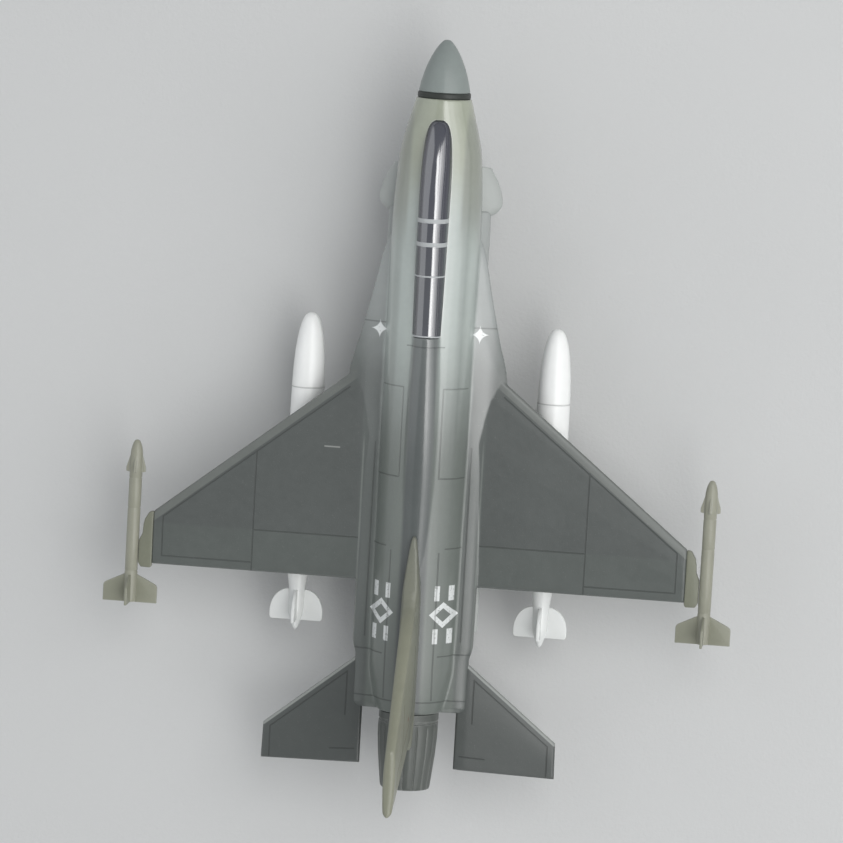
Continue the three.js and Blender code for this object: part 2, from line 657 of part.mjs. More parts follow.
// places a right-hand piece on the given side
const SIDES = [['right', 1], ['left', -1]];
function putOn([side, sign], name, shape, finish, [x, y, z] = [0, 0, 0]) {
  put(`${side}_${name}`, sign < 0 ? mirrored(shape) : shape, finish, [sign * x, y, z]);
}

// each wheel is a group on its own axle line
function putWheel(name, wheel, sign = 1) {
  const group = new THREE.Group();
  group.name = name;
  group.position.set(sign * wheel.x, yAt(wheel.station), wheel.radius);
  put(`${name}_tyre`, tyre(wheel), 'tyreBlack', [0, 0, 0], group);
  put(`${name}_hub`, hub(wheel), 'lightPlastic', [0, 0, 0], group);
  root.add(group);
}
const axleAt = ({ station, radius }) => [0, yAt(station), radius];

put('upper_casting', upperCasting(), 'greyPaint');
put('lower_body', lowerBody(), 'lightPlastic');
put('radome', radome(), 'radomeGrey', [0, NOSE_Y, RADOME_Z]);
put('nose_ring', noseRing(), 'darkPlastic', [0, NOSE_Y, RADOME_Z]);
put('canopy', canopy(), 'canopyTint');
put('cockpit_tub', cockpitTub(), 'darkPlastic');
put('ejection_seat', ejectionSeat(), 'darkPlastic');
put('instrument_coaming', instrumentCoaming(), 'darkPlastic');
put('intake_cowl', intakeCowl(), 'lightPlastic');
put('vertical_fin', verticalFin(), 'finGrey');
for (const side of SIDES) putOn(side, 'tailplane', tailplane(), 'greyPaint');
put('exhaust_nozzle', exhaustNozzle(), 'engineGrey', [0, NOSE_Y, ENGINE_Z]);
put('turbine_face', turbineFace(), 'darkPlastic', [0, NOSE_Y - 0.02, ENGINE_Z]);
for (const side of SIDES) {
  putOn(side, 'launch_rail', launchRail(), 'creamPlastic');
  putOn(side, 'missile', missile(), 'creamPlastic', MISSILE_AT);
  putOn(side, 'pylon', pylon(), 'greyPaint');
  putOn(side, 'store', store(), 'whitePlastic', STORE_AT);
  putOn(side, 'main_leg', mainLeg(), 'lightPlastic');
}
put('nose_leg', noseLeg(), 'lightPlastic');
put('nose_axle', noseAxle(), 'steel', axleAt(NOSE_WHEEL));
for (const side of SIDES) putOn(side, 'main_axle', mainAxle(), 'steel', axleAt(MAIN_WHEEL));
for (const spec of SCREWS) put(spec.name, screw(spec), 'steel');
putWheel('nose_wheel', NOSE_WHEEL);
for (const [side, sign] of SIDES) putWheel(`${side}_main_wheel`, MAIN_WHEEL, sign);

export default root;
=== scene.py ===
# A die-cast toy jet with a plastic underside, stores, missiles and rolling wheels.
# The nose points along +Y, +X is the right wing, and the wheels stand on z = 0.
# Shapes are modelled in millimetres and scaled to metres by done(). Lengthwise places
# are stations: millimetres aft of the nose tip.
import bpy
import bmesh
import json
import math
import numpy as np
from functools import cached_property, reduce
from mathutils import Matrix, Vector


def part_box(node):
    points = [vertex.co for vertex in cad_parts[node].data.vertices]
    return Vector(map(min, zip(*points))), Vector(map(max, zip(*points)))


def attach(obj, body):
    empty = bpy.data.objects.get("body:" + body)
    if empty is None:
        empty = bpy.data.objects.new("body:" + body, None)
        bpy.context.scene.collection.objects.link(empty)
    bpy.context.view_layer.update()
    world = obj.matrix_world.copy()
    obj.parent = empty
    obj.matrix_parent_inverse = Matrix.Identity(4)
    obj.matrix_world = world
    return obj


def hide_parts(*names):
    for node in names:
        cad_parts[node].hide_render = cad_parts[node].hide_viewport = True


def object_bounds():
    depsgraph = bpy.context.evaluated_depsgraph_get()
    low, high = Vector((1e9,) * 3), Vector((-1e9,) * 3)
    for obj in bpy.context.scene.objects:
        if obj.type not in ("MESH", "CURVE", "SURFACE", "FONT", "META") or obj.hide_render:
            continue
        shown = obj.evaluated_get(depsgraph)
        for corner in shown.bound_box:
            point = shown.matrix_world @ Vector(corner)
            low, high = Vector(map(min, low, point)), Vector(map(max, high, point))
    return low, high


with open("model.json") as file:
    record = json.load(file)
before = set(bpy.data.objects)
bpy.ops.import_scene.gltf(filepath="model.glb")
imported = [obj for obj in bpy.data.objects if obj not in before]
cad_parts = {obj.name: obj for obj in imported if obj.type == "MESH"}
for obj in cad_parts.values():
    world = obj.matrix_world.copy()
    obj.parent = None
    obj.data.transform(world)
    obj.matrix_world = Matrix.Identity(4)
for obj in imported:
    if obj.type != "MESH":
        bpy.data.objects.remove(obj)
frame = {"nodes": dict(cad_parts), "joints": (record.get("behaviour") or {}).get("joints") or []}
rest_lo, rest_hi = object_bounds()

# ------------------------------------------------------------------ driving places (mm)
MM = 0.001
MM_PER_M = 1000
NOSE_Y = rest_hi.y * MM_PER_M
LENGTH = (rest_hi.y - rest_lo.y) * MM_PER_M
SIDES = ((1, "right"), (-1, "left"))


def box_mm(node):
    """Low and high corner of a frame node."""
    lo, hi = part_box(node)
    return np.array(lo) * MM_PER_M, np.array(hi) * MM_PER_M


def station(y):
    return NOSE_Y - y


def centre_and_front(node):
    """Centre of a node's box, and the station of its front end."""
    lo, hi = box_mm(node)
    return (lo + hi) / 2, station(hi[1])


JOINT = {joint["child"]: np.array(joint["pos_m"]) * MM_PER_M for joint in frame["joints"]}
CASTING_LO, CASTING_HI = box_mm("upper_casting")
BARREL_END = station(CASTING_LO[1])
HALF_GAP = 0.03  # half the gap between casting and underside
SPLIT_Z = CASTING_LO[2] - HALF_GAP
CASTING_FLOOR = SPLIT_Z + HALF_GAP
UNDERSIDE_TOP = SPLIT_Z - HALF_GAP

# wing: straight leading edge through (|x|, station), sweep in station per mm of span
WING_TIP_X = CASTING_HI[0]
WING_Z = 12.0
WING_EDGE_X, WING_EDGE_STATION = 9.6, 40.7
WING_SWEEP = 0.8026
WING_TRAILING = 65.4

RADOME_Z = centre_and_front("radome")[0][2]
NOZZLE_LO, NOZZLE_HI = box_mm("exhaust_nozzle")
ENGINE_Z = (NOZZLE_LO[2] + NOZZLE_HI[2]) / 2
NOZZLE_END = station(NOZZLE_LO[1])
CANOPY_LO, CANOPY_HI = box_mm("canopy")
CANOPY_FRONT, CANOPY_BACK = station(CANOPY_HI[1]), station(CANOPY_LO[1])
SILL_Z = CANOPY_LO[2]
STORE_CENTRE, STORE_FRONT = centre_and_front("right_store")
MISSILE_CENTRE, MISSILE_FRONT = centre_and_front("right_missile")
FIN_TOP = box_mm("vertical_fin")[1][2]


# ------------------------------------------------------------------ objects and modifiers
def link(ob):
    bpy.context.scene.collection.objects.link(ob)
    return ob


def make(verts, faces):
    """A cleaned mesh object with outward normals."""
    mesh = bpy.data.meshes.new("part")
    mesh.from_pydata([tuple(v) for v in verts], [], [tuple(f) for f in faces])
    mesh.update()
    ob = link(bpy.data.objects.new("part", mesh))
    bm = bmesh.new()
    bm.from_mesh(mesh)
    bmesh.ops.remove_doubles(bm, verts=bm.verts, dist=1e-5)
    bmesh.ops.dissolve_degenerate(bm, edges=bm.edges, dist=1e-6)
    bmesh.ops.recalc_face_normals(bm, faces=bm.faces)
    bm.to_mesh(mesh)
    bm.free()
    return ob


def bake(ob):
    """Replaces the mesh by its evaluated result and clears the modifiers."""
    depsgraph = bpy.context.evaluated_depsgraph_get()
    depsgraph.update()
    mesh = bpy.data.meshes.new_from_object(ob.evaluated_get(depsgraph))
    ob.modifiers.clear()
    old = ob.data
    ob.data = mesh
    bpy.data.meshes.remove(old)
    return ob


def apply(ob, kind, **settings):
    modifier = ob.modifiers.new(kind.lower(), kind)
    for key, value in settings.items():
        setattr(modifier, key, value)
    return bake(ob)


def drop(ob):
    mesh = ob.data
    bpy.data.objects.remove(ob)
    bpy.data.meshes.remove(mesh)


def merge(parts):
    """One object holding every mesh of parts."""
    bm = bmesh.new()
    for part in parts:
        bm.from_mesh(part.data)
    mesh = bpy.data.meshes.new("part")
    bm.to_mesh(mesh)
    bm.free()
    for part in parts:
        drop(part)
    return link(bpy.data.objects.new("part", mesh))


def cut(target, tool, solver="MANIFOLD"):
    """Subtracts tool from target."""
    modifier = target.modifiers.new("cut", "BOOLEAN")
    modifier.operation = "DIFFERENCE"
    modifier.object = tool
    # guards Blender builds that lack the manifold solver
    try:
        modifier.solver = solver
    except TypeError:
        modifier.solver = "EXACT"
    bake(target)
    drop(tool)
    return target


def voxel(ob, size, smooth):
    """Fuses overlapping parts into one skin and softens their joins."""
    size = size
    apply(ob, "REMESH", mode="VOXEL", voxel_size=size, adaptivity=0)
    return apply(ob, "SMOOTH", factor=0.5, iterations=smooth)


def bevel(ob, width, segments):
    return apply(ob, "BEVEL", width=width, segments=segments, limit_method="ANGLE",
                 angle_limit=math.radians(30))


def transform(ob, matrix):
    ob.data.transform(matrix)
    if matrix.determinant() < 0:
        ob.data.flip_normals()
    return ob


def move(ob, offset):
    return transform(ob, Matrix.Translation(offset))


def to_side(ob, side):
    """Mirrors a right-hand piece when side is -1."""
    return transform(ob, Matrix.Scale(-1, 4, (1, 0, 0))) if side < 0 else ob


def done(ob, name, finish, replaces=(), sharp=38, body="airframe"):
    """Names, scales to metres, shades, and hands the piece to the frame."""
    ob.name = name
    ob.data.transform(Matrix.Scale(MM, 4))
    ob.data.shade_smooth()
    ob.data.set_sharp_from_angle(angle=math.radians(sharp))
    ob.data.materials.clear()
    ob.data.materials.append(FINISH[finish])
    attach(ob, body)
    if replaces:
        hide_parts(*replaces)


# ------------------------------------------------------------------ shapes
def smooth_rows(rows, step):
    """Monotone cubic through table rows, resampled along the first column."""
    table = np.array(rows, float)
    knots = table[:, 0]
    count = max(2, int(math.ceil((knots[-1] - knots[0]) / step)) + 1)
    samples = np.unique(np.concatenate([np.linspace(knots[0], knots[-1], count), knots]))
    gaps = np.diff(knots)
    span = np.clip(np.searchsorted(knots, samples, side="right") - 1, 0, len(knots) - 2)
    width = gaps[span]
    t = (samples - knots[span]) / width
    columns = [samples]
    for values in table[:, 1:].T:
        rise = np.diff(values) / gaps
        slope = np.zeros(len(knots))
        for i in range(1, len(knots) - 1):
            if rise[i - 1] * rise[i] > 0:
                before = 2 * gaps[i] + gaps[i - 1]
                after = gaps[i] + 2 * gaps[i - 1]
                slope[i] = (before + after) / (before / rise[i - 1] + after / rise[i])
        slope[0], slope[-1] = rise[0], rise[-1]
        columns.append(
            values[span] * (1 + 2 * t) * (1 - t) ** 2
            + slope[span] * width * t * (1 - t) ** 2
            + values[span + 1] * t * t * (3 - 2 * t)
            + slope[span + 1] * width * t * t * (t - 1))
    return np.stack(columns, 1)


def signed_power(values, power):
    return np.sign(values) * np.abs(values) ** (2 / power)


def ring_points(row, seg, grow=0.0):
    """One superellipse cross-section of a body table."""
    aft, half_width, top, bottom, middle, power = row
    angles = np.linspace(0, 2 * math.pi, seg, endpoint=False)
    across = signed_power(np.sin(angles), power)
    rise = signed_power(np.cos(angles), power)
    reach = np.where(rise > 0, rise * (top - middle + grow), rise * (middle - bottom + grow))
    return np.stack([across * (half_width + grow), np.full(seg, NOSE_Y - aft), middle + reach], 1)


def skin(rings, caps=True):
    """Skin over rings with the same point count."""
    seg = len(rings[0])
    faces = []
    for i in range(len(rings) - 1):
        for j in range(seg):
            k = (j + 1) % seg
            faces.append((i * seg + j, i * seg + k, (i + 1) * seg + k, (i + 1) * seg + j))
    if caps:
        faces.append(range(seg))
        faces.append(reversed(range((len(rings) - 1) * seg, len(rings) * seg)))
    return make(np.concatenate(rings), faces)


def loft(rows, seg, step, grow=0.0, floor=-np.inf, ceiling=np.inf):
    """Closed body through a body table, flattened at floor and ceiling."""
    rings = [ring_points(row, seg, grow) for row in smooth_rows(rows, step)]
    for ring in rings:
        ring[:, 2] = np.clip(ring[:, 2], floor, ceiling)
    return skin(rings)


def lathe(profile, seg, shape=None):
    """(radius, y) points revolved about Y. shape(angle, radius, y) may change the radius."""
    angles = np.linspace(0, 2 * math.pi, seg, endpoint=False)
    rings = []
    for radius, y in profile:
        radii = np.full(seg, radius, float)
        if shape is not None:
            radii = np.array([shape(angle, radius, y) for angle in angles])
        rings.append(np.stack([radii * np.sin(angles), np.full(seg, y), radii * np.cos(angles)], 1))
    return skin(rings, caps=False)


def subdivide(profile, step):
    """Splits long spans of a profile and keeps its corners."""
    out = [profile[0]]
    for start, end in zip(profile, profile[1:]):
        count = max(1, int(math.ceil(math.dist(start, end) / step)))
        out += [(start[0] + (end[0] - start[0]) * k / count,
                 start[1] + (end[1] - start[1]) * k / count) for k in range(1, count + 1)]
    return out


def curve_profile(points, step):
    """Smooth profile through (radius, y) points in order of falling y."""
    rows = smooth_rows([[-y, radius] for radius, y in points], step)
    return [(max(radius, 0.0), -aft) for aft, radius in rows]


def box(across, stations, heights, nose_y=NOSE_Y):
    """Block between pairs of x, station and z."""
    verts = [(x, nose_y - aft, z) for x in across for aft in stations for z in heights]
    return make(verts, [(0, 1, 3, 2), (4, 6, 7, 5), (0, 4, 5, 1),
                        (2, 3, 7, 6), (0, 2, 6, 4), (1, 5, 7, 3)])


def extrude(start, end):
    """Solid between two matching rings of points."""
    n = len(start)
    faces = [range(n), range(2 * n - 1, n - 1, -1)]
    faces += [(i, (i + 1) % n, n + (i + 1) % n, n + i) for i in range(n)]
    return make([*start, *end], faces)


def plan_prism(outline, z0, z1, nose_y=NOSE_Y):
    """Extrudes an (x, station) outline upwards."""
    return extrude(*[[(x, nose_y - aft, z) for x, aft in outline] for z in (z0, z1)])


def side_prism(outline, x0, x1):
    """Extrudes a (station, z) outline sideways."""
    return extrude(*[[(x, NOSE_Y - aft, z) for aft, z in outline] for x in (x0, x1)])


def rod(axis, radius, length, centre, seg=32):
    def end(offset):
        ring = []
        for angle in np.linspace(0, 2 * math.pi, seg, endpoint=False):
            point = [radius * math.cos(angle), radius * math.sin(angle)]
            point.insert("xyz".index(axis), offset)
            ring.append([p + c for p, c in zip(point, centre)])
        return ring

    return extrude(end(-length / 2), end(length / 2))


def lerp(start, end, t):
    return start + (end - start) * t


def edge_spaced(count, power=2.2):
    """count + 1 values from 0 to 1, closer together at both ends."""
    u = np.linspace(-1, 1, count + 1)
    return (np.sign(u) * (1 - (1 - np.abs(u)) ** power) + 1) / 2


def slab(corner, half, radius, nu, nv, place):
    """Closed plate with round edges. corner(u, v) gives its planform point, half(u, v) its
    half thickness, and place(a, b, offset) puts a planform point and offset in space."""
    us, vs = edge_spaced(nu), edge_spaced(nv)
    plan = np.array([[corner(u, v) for v in vs] for u in us])

    def roundness(first_edge, last_edge):
        distance = np.minimum(np.linalg.norm(plan - first_edge, axis=2),
                              np.linalg.norm(plan - last_edge, axis=2))
        inward = np.clip(distance / radius, 0, 1)
        return np.sqrt(np.maximum(0, 1 - (1 - inward) ** 2))

    heights = np.array([[half(u, v) for v in vs] for u in us])
    heights = heights * roundness(plan[:1], plan[-1:]) * roundness(plan[:, :1], plan[:, -1:])
    verts, top, bottom = [], {}, {}
    for i in range(nu + 1):
        for j in range(nv + 1):
            edge = i in (0, nu) or j in (0, nv)
            top[i, j] = bottom[i, j] = len(verts)
            verts.append(place(*plan[i, j], 0 if edge else heights[i, j]))
            if not edge:
                bottom[i, j] = len(verts)
                verts.append(place(*plan[i, j], -heights[i, j]))
    faces = []
    for i in range(nu):
        for j in range(nv):
            faces.append((top[i, j], top[i + 1, j], top[i + 1, j + 1], top[i, j + 1]))
            faces.append((bottom[i, j], bottom[i, j + 1], bottom[i + 1, j + 1], bottom[i + 1, j]))
    return make(verts, faces)


def upright(x=0):
    """Slab placement for (station, z) plates standing at x."""
    return lambda aft, z, offset: (x + offset, NOSE_Y - aft, z)


# ------------------------------------------------------------------ shader building
def srgb(*channels):
    """Linear colour from 0-255 sRGB channels."""
    def linear(channel):
        channel /= 255
        return channel / 12.92 if channel <= 0.04045 else ((channel + 0.055) / 1.055) ** 2.4

    return (*map(linear, channels), 1.0)


class ShaderNet:
    """A Principled material and short ways to wire nodes into it. Lengths are in mm."""

    def __init__(self, name):
        self.material = bpy.data.materials.new(name)
        self.material.use_nodes = True
        self.tree = self.material.node_tree
        self.tree.nodes.clear()
        self.output = self.node("OutputMaterial")
        self.bsdf = self.node("BsdfPrincipled")
        self.put(self.output.inputs[0], self.bsdf.outputs[0])

    def node(self, kind):
        return self.tree.nodes.new("ShaderNode" + kind)

    def put(self, socket, value):
        """Links an output socket, or sets a value."""
        if hasattr(value, "is_output"):
            self.tree.links.new(value, socket)
        elif isinstance(value, tuple) and len(value) == 4 and socket.type == "VECTOR":
            socket.default_value = value[:3]
        else:
            socket.default_value = value

    def set(self, name, value):
        self.put(self.bsdf.inputs[name], value)

    def math(self, op, first, second=0.0, third=None, clamp=False):
        node = self.node("Math")
        node.operation, node.use_clamp = op, clamp
        self.put(node.inputs[0], first)
        self.put(node.inputs[1], second)
        if third is not None:
            self.put(node.inputs[2], third)
        return node.outputs[0]

    def add(self, first, second):
        return self.math("ADD", first, second)

    def sub(self, first, second):
        return self.math("SUBTRACT", first, second)

    def mul(self, first, second):
        return self.math("MULTIPLY", first, second)

    def abs(self, value):
        return self.math("ABSOLUTE", value)

    def away(self, value, centre):
        """Distance of value from centre."""
        return self.abs(self.sub(value, centre))

    def vmath(self, op, first, second=None, scale=None):
        node = self.node("VectorMath")
        node.operation = op
        self.put(node.inputs[0], first)
        if second is not None:
            self.put(node.inputs[1], second)
        if scale is not None:
            self.put(node.inputs["Scale"], scale)
        return node.outputs["Value" if op in ("DOT_PRODUCT", "DISTANCE") else 0]

    @cached_property
    def position(self):
        coord = self.node("TexCoord").outputs["Object"]
        return self.vmath("SCALE", coord, scale=float(MM_PER_M))

    @cached_property
    def xyz(self):
        node = self.node("SeparateXYZ")
        self.put(node.inputs[0], self.position)
        return tuple(node.outputs)

    @cached_property
    def aft(self):
        """Station."""
        return self.sub(NOSE_Y, self.xyz[1])

    @cached_property
    def out(self):
        """Distance from the centre plane."""
        return self.abs(self.xyz[0])

    def combine(self, *values):
        node = self.node("CombineXYZ")
        for socket, value in zip(node.inputs, values):
            self.put(socket, value)
        return node.outputs[0]

    def noise(self, scale, detail=3.0, rough=0.5):
        node = self.node("TexNoise")
        self.put(node.inputs["Vector"], self.position)
        node.inputs["Scale"].default_value = scale
        node.inputs["Detail"].default_value = detail
        node.inputs["Roughness"].default_value = rough
        return node.outputs[0]

    def wobble(self, scale, reach):
        """Slow noise about zero, to make colour borders uneven."""
        return self.mul(self.sub(self.noise(scale, detail=2), 0.5), reach)

    def map_range(self, kind, *values):
        node = self.node("MapRange")
        node.interpolation_type = kind
        for i, value in enumerate(values):
            self.put(node.inputs[i], value)
        return node.outputs[0]

    def ramp(self, value, start, end, low=0.0, high=1.0):
        """Smooth step from low at start to high at end."""
        return self.map_range("SMOOTHSTEP", value, start, end, low, high)

    def vary(self, noise, low, high, start=0.3, end=0.7):
        """Spreads a noise evenly over low to high."""
        return self.map_range("LINEAR", noise, start, end, low, high)

    def layer(self, base, colour, mask, strength=None):
        """colour over base where mask is 1."""
        if strength is not None:
            mask = self.mul(mask, strength)
        node = self.node("Mix")
        node.data_type = "RGBA"
        self.put(node.inputs[0], mask)
        self.put(node.inputs[6], base)
        self.put(node.inputs[7], colour)
        return node.outputs[2]

    def shade(self, colour, amount):
        """colour made lighter or darker by amount, where 1 leaves it."""
        return self.vmath("SCALE", colour, scale=amount)

    def bump(self, height, distance, normal=None):
        node = self.node("Bump")
        node.inputs["Strength"].default_value = 1.0
        node.inputs["Distance"].default_value = distance * MM
        self.put(node.inputs["Height"], height)
        if normal is not None:
            self.put(node.inputs["Normal"], normal)
        return node.outputs[0]

    def edges(self, radius):
        """1 on edges, from the difference between the true and a rounded normal."""
        rounded = self.node("Bevel")
        rounded.samples = 4
        rounded.inputs["Radius"].default_value = radius * MM
        true = self.node("NewGeometry").outputs["Normal"]
        agreement = self.vmath("DOT_PRODUCT", rounded.outputs[0], true)
        return self.ramp(agreement, 0.995, 0.86)

    def segment(self, point, start, end):
        """Distance from point to the segment start-end."""
        start, end = Vector((*start, 0)), Vector((*end, 0))
        along = end - start
        offset = self.vmath("SUBTRACT", point, tuple(start))
        unit = tuple(along / max(along.length_squared, 1e-9))
        share = self.vmath("DOT_PRODUCT", offset, unit)
        share = self.math("MULTIPLY", share, 1.0, clamp=True)
        foot = self.vmath("SCALE", tuple(along), scale=share)
        return self.vmath("DISTANCE", offset, foot)

    def groove(self, distance, width=0.05, soft=0.05):
        """1 inside a panel line of that half width."""
        return self.ramp(distance, width, width + soft, 1.0, 0.0)

    def panel_lines(self, point, polylines, **size):
        distances = [self.segment(point, start, end)
                     for line in polylines for start, end in zip(line, line[1:])]
        nearest = reduce(lambda first, second: self.math("MINIMUM", first, second), distances)
        return self.groove(nearest, **size)

    def union(self, *masks):
        return reduce(lambda first, second: self.math("MAXIMUM", first, second), masks)

    def both(self, *masks):
        return reduce(self.mul, masks)

    def facing_up(self, start, end):
        """Ramp over the z part of the surface normal."""
        node = self.node("SeparateXYZ")
        self.put(node.inputs[0], self.node("NewGeometry").outputs["True Normal"])
        return self.ramp(node.outputs[2], start, end)


def finish_paint(net, colour, rough=0.42, coat=0.25, coat_ior=1.5, peel=0.010, lines=None,
                 wear=0.0, mottle=0.06, dust=0.05, edge_light=0.0):
    """Paint or moulded plastic: mottled colour, orange peel of depth peel (mm), panel lines,
    edges chipped by wear and lightened by edge_light as a painted highlight, fine dust."""
    broad = net.noise(0.12, rough=0.55)
    medium = net.noise(1.1, detail=4, rough=0.6)
    tiny = net.noise(9.0, rough=0.6)
    tone = net.mul(net.vary(broad, 1 - mottle, 1 + mottle),
                   net.vary(medium, 1 - mottle * 0.5, 1 + mottle * 0.5))
    colour = net.shade(colour, tone)
    if lines is not None:
        colour = net.layer(colour, net.shade(colour, 0.35), lines, strength=0.45)
    if wear or edge_light:
        edge = net.edges(radius=0.22)
        # painted highlight: convex edges lightened to stand in for light catching them
        if edge_light:
            colour = net.layer(colour, (0.62, 0.63, 0.61, 1), edge, edge_light)
        if wear:
            patches = net.ramp(net.noise(1.6, detail=4, rough=0.7), 0.52, 0.6)
            colour = net.layer(colour, (0.55, 0.55, 0.53, 1), net.mul(edge, patches), wear)
    specks = net.ramp(net.noise(6.5, detail=2), 0.66, 0.72)
    net.set("Base Color", net.layer(colour, (0.7, 0.7, 0.68, 1), specks, dust))
    roughness = net.vary(medium, rough - 0.06, rough + 0.07, start=0.25, end=0.75)
    if lines is not None:
        roughness = net.add(roughness, net.mul(lines, 0.25))
    net.set("Roughness", roughness)
    net.set("Coat Weight", coat)
    net.set("Coat Roughness", 0.16)
    net.set("Coat IOR", coat_ior)
    normal = net.bump(tiny, distance=peel)
    normal = net.bump(medium, distance=peel * 2.0, normal=normal)
    if lines is not None:
        normal = net.bump(net.sub(1.0, lines), distance=0.05, normal=normal)
    net.set("Normal", normal)
    return net.material


def simple(name, rgb, **look):
    return finish_paint(ShaderNet(name), srgb(*rgb), **look)


# ------------------------------------------------------------------ materials
def wing_leading(x):
    """Station of the wing's leading edge."""
    return WING_EDGE_STATION + (x - WING_EDGE_X) * WING_SWEEP


# panel lines on the casting: polylines of (|x|, station)
CASTING_LINES = [
    [(7.4, 60.3), (20.1, 60.3), (20.1, 65.5)],
    [(20.1, wing_leading(20.1) + 1.5), (20.1, 60.3)],
    [(9.3, wing_leading(9.3) + 1.7), (31.1, wing_leading(31.1) + 1.5),
     (31.1, 64.3), (20.1, 64.3)],
    [(5.0, 41.2), (2.4, 41.2), (2.4, 52.0), (5.1, 52.0)],
    [(3.6, 60.5), (5.2, 60.5)],
    [(5.35, 34.0), (8.35, 34.0)],
    [(0.0, 36.2), (2.2, 36.2)],
    [(3.4, 73.6), (7.2, 73.6)],
    [(1.2, 79.3), (6.8, 79.3)],
    [(2.9, 61.0), (2.9, 79.0)],
    [(5.8, 48.5), (5.8, 72.0)],
]
# panel lines on the fin: polylines of (station, z)
FIN_LINES = [
    [(80.0, 18.6), (85.5, 28.2), (90.2, 28.2)],
    [(72.0, 18.6), (84.0, 18.6)],
    [(78.0, 25.0), (88.0, 25.0)],
]
# panel lines on the underside and the tailplanes: polylines of (|x|, station)
UNDERSIDE_LINES = [
    [(0.0, 26.5), (5.2, 26.5)],
    [(2.0, 26.5), (2.0, 36.0), (0.0, 36.0)],
    [(4.6, 38.0), (4.6, 52.0), (3.0, 60.5), (0, 60.5)],
    [(0.0, 74.8), (5.2, 74.8)],
    [(3.0, 62.0), (3.0, 73.0)],
]
TAILPLANE_LINES = [
    [(6.4, 86.1), (9.4, 86.3)],
    [(7.7, 76.9), (7.7, 82.0)],
    [(16.9, 84.4), (16.9, 88.0)],
    [(7.7, 76.7), (16.9, 84.3)],
]


def casting_zones(net):
    """Cream nose, pale barrel, grey strakes, mid grey back, dark grey wings, with painted shade down
    the sides of the nose and barrel and a painted highlight along the wings' leading edges.
    """
    wobble = net.wobble(scale=0.35, reach=2.2)

    def uneven(start, end):
        return net.ramp(net.add(net.aft, wobble), start, end)

    inner = net.layer(srgb(158, 163, 145), srgb(172, 181, 176), uneven(13.0, 22.0))
    # painted shade: the sides of the nose darker than the shoulders beside the canopy, as if turned
    # away from the light
    painted_shade_nose_sides = net.both(net.ramp(net.out, 2.9, 3.5), net.ramp(net.aft, 7.5, 10.0),
                    net.ramp(net.aft, 26.0, 19.0))
    inner = net.layer(inner, srgb(132, 136, 126), painted_shade_nose_sides, strength=0.75)
    # painted shade: a darker band down each side of the barrel, beside the pale shoulders
    band = net.both(net.ramp(net.out, 3.3, 3.8), net.ramp(net.out, 4.7, 4.2),
                    net.ramp(net.aft, 19.0, 26.0), net.ramp(net.aft, 60.0, 48.0))
    inner = net.layer(inner, srgb(120, 126, 122), band, strength=0.28)
    inner = net.layer(inner, srgb(112, 118, 113), uneven(31.0, 50.0))
    strake = net.layer(srgb(146, 151, 149), srgb(90, 95, 92), uneven(29.0, 42.0))
    beside = net.ramp(net.add(net.out, net.mul(wobble, 0.10)), 5.0, 5.7)
    colour = net.layer(inner, strake, beside)
    # wings, with a painted highlight along the rounded leading edge
    outboard = net.ramp(net.out, 7.35, 7.6)
    behind = uneven(38.0, 43.0)
    wing = net.layer(srgb(86, 90, 88), srgb(89, 94, 91), net.ramp(net.aft, 60.0, 60.5))
    colour = net.layer(colour, wing, net.both(outboard, behind))
    centre_edge = WING_EDGE_STATION - WING_EDGE_X * WING_SWEEP
    leading = net.sub(net.aft, net.add(centre_edge, net.mul(net.out, WING_SWEEP)))
    leading_edge_highlight = net.both(net.ramp(leading, 1.35, 1.15), outboard, behind,
                     net.ramp(net.out, 8.0, 9.0))
    colour = net.layer(colour, srgb(112, 116, 112), leading_edge_highlight, strength=0.85)
    spine = net.both(net.ramp(net.out, 1.9, 1.3), net.ramp(net.aft, 33.0, 35.5))
    return net.layer(colour, srgb(78, 83, 83), spine, strength=0.85)


def casting_marks(net, colour):
    """White marks: four bars and a ring each side of the back, a four-point star on each
    strake, a dash on the left wing."""
    across = net.sub(net.out, 3.75)
    along = net.sub(net.aft, 68.5)
    bar_across = net.away(net.abs(across), 0.78)
    bar_along = net.away(net.abs(along), 2.62)
    bars = net.both(net.ramp(bar_across, 0.33, 0.25), net.ramp(bar_along, 0.95, 0.87))
    diamond = net.add(net.abs(across), net.abs(along))
    ring = net.both(net.ramp(diamond, 1.62, 1.54), net.ramp(diamond, 0.80, 0.88))
    star_across = net.math("POWER", net.away(net.out, 6.0), 0.6)
    star_along = net.math("POWER", net.away(net.aft, 34.8), 0.6)
    star = net.ramp(net.add(star_across, star_along), 1.16, 0.96)
    dash = net.both(net.ramp(net.abs(net.add(net.xyz[0], 11.0)), 1.0, 0.92),
                    net.ramp(net.away(net.aft, 49.5), 0.11, 0.07))
    thin = net.ramp(net.noise(2.8, rough=0.6), 0.30, 0.46, low=0.35)
    marks = net.union(bars, ring, net.both(star, net.facing_up(0.25, 0.5)))
    marks = net.both(marks, thin, net.facing_up(0.05, 0.2))
    colour = net.layer(colour, srgb(226, 229, 228), marks, strength=0.95)
    dash = net.both(dash, net.facing_up(0.3, 0.5))
    return net.layer(colour, srgb(172, 174, 170), dash, strength=0.55)


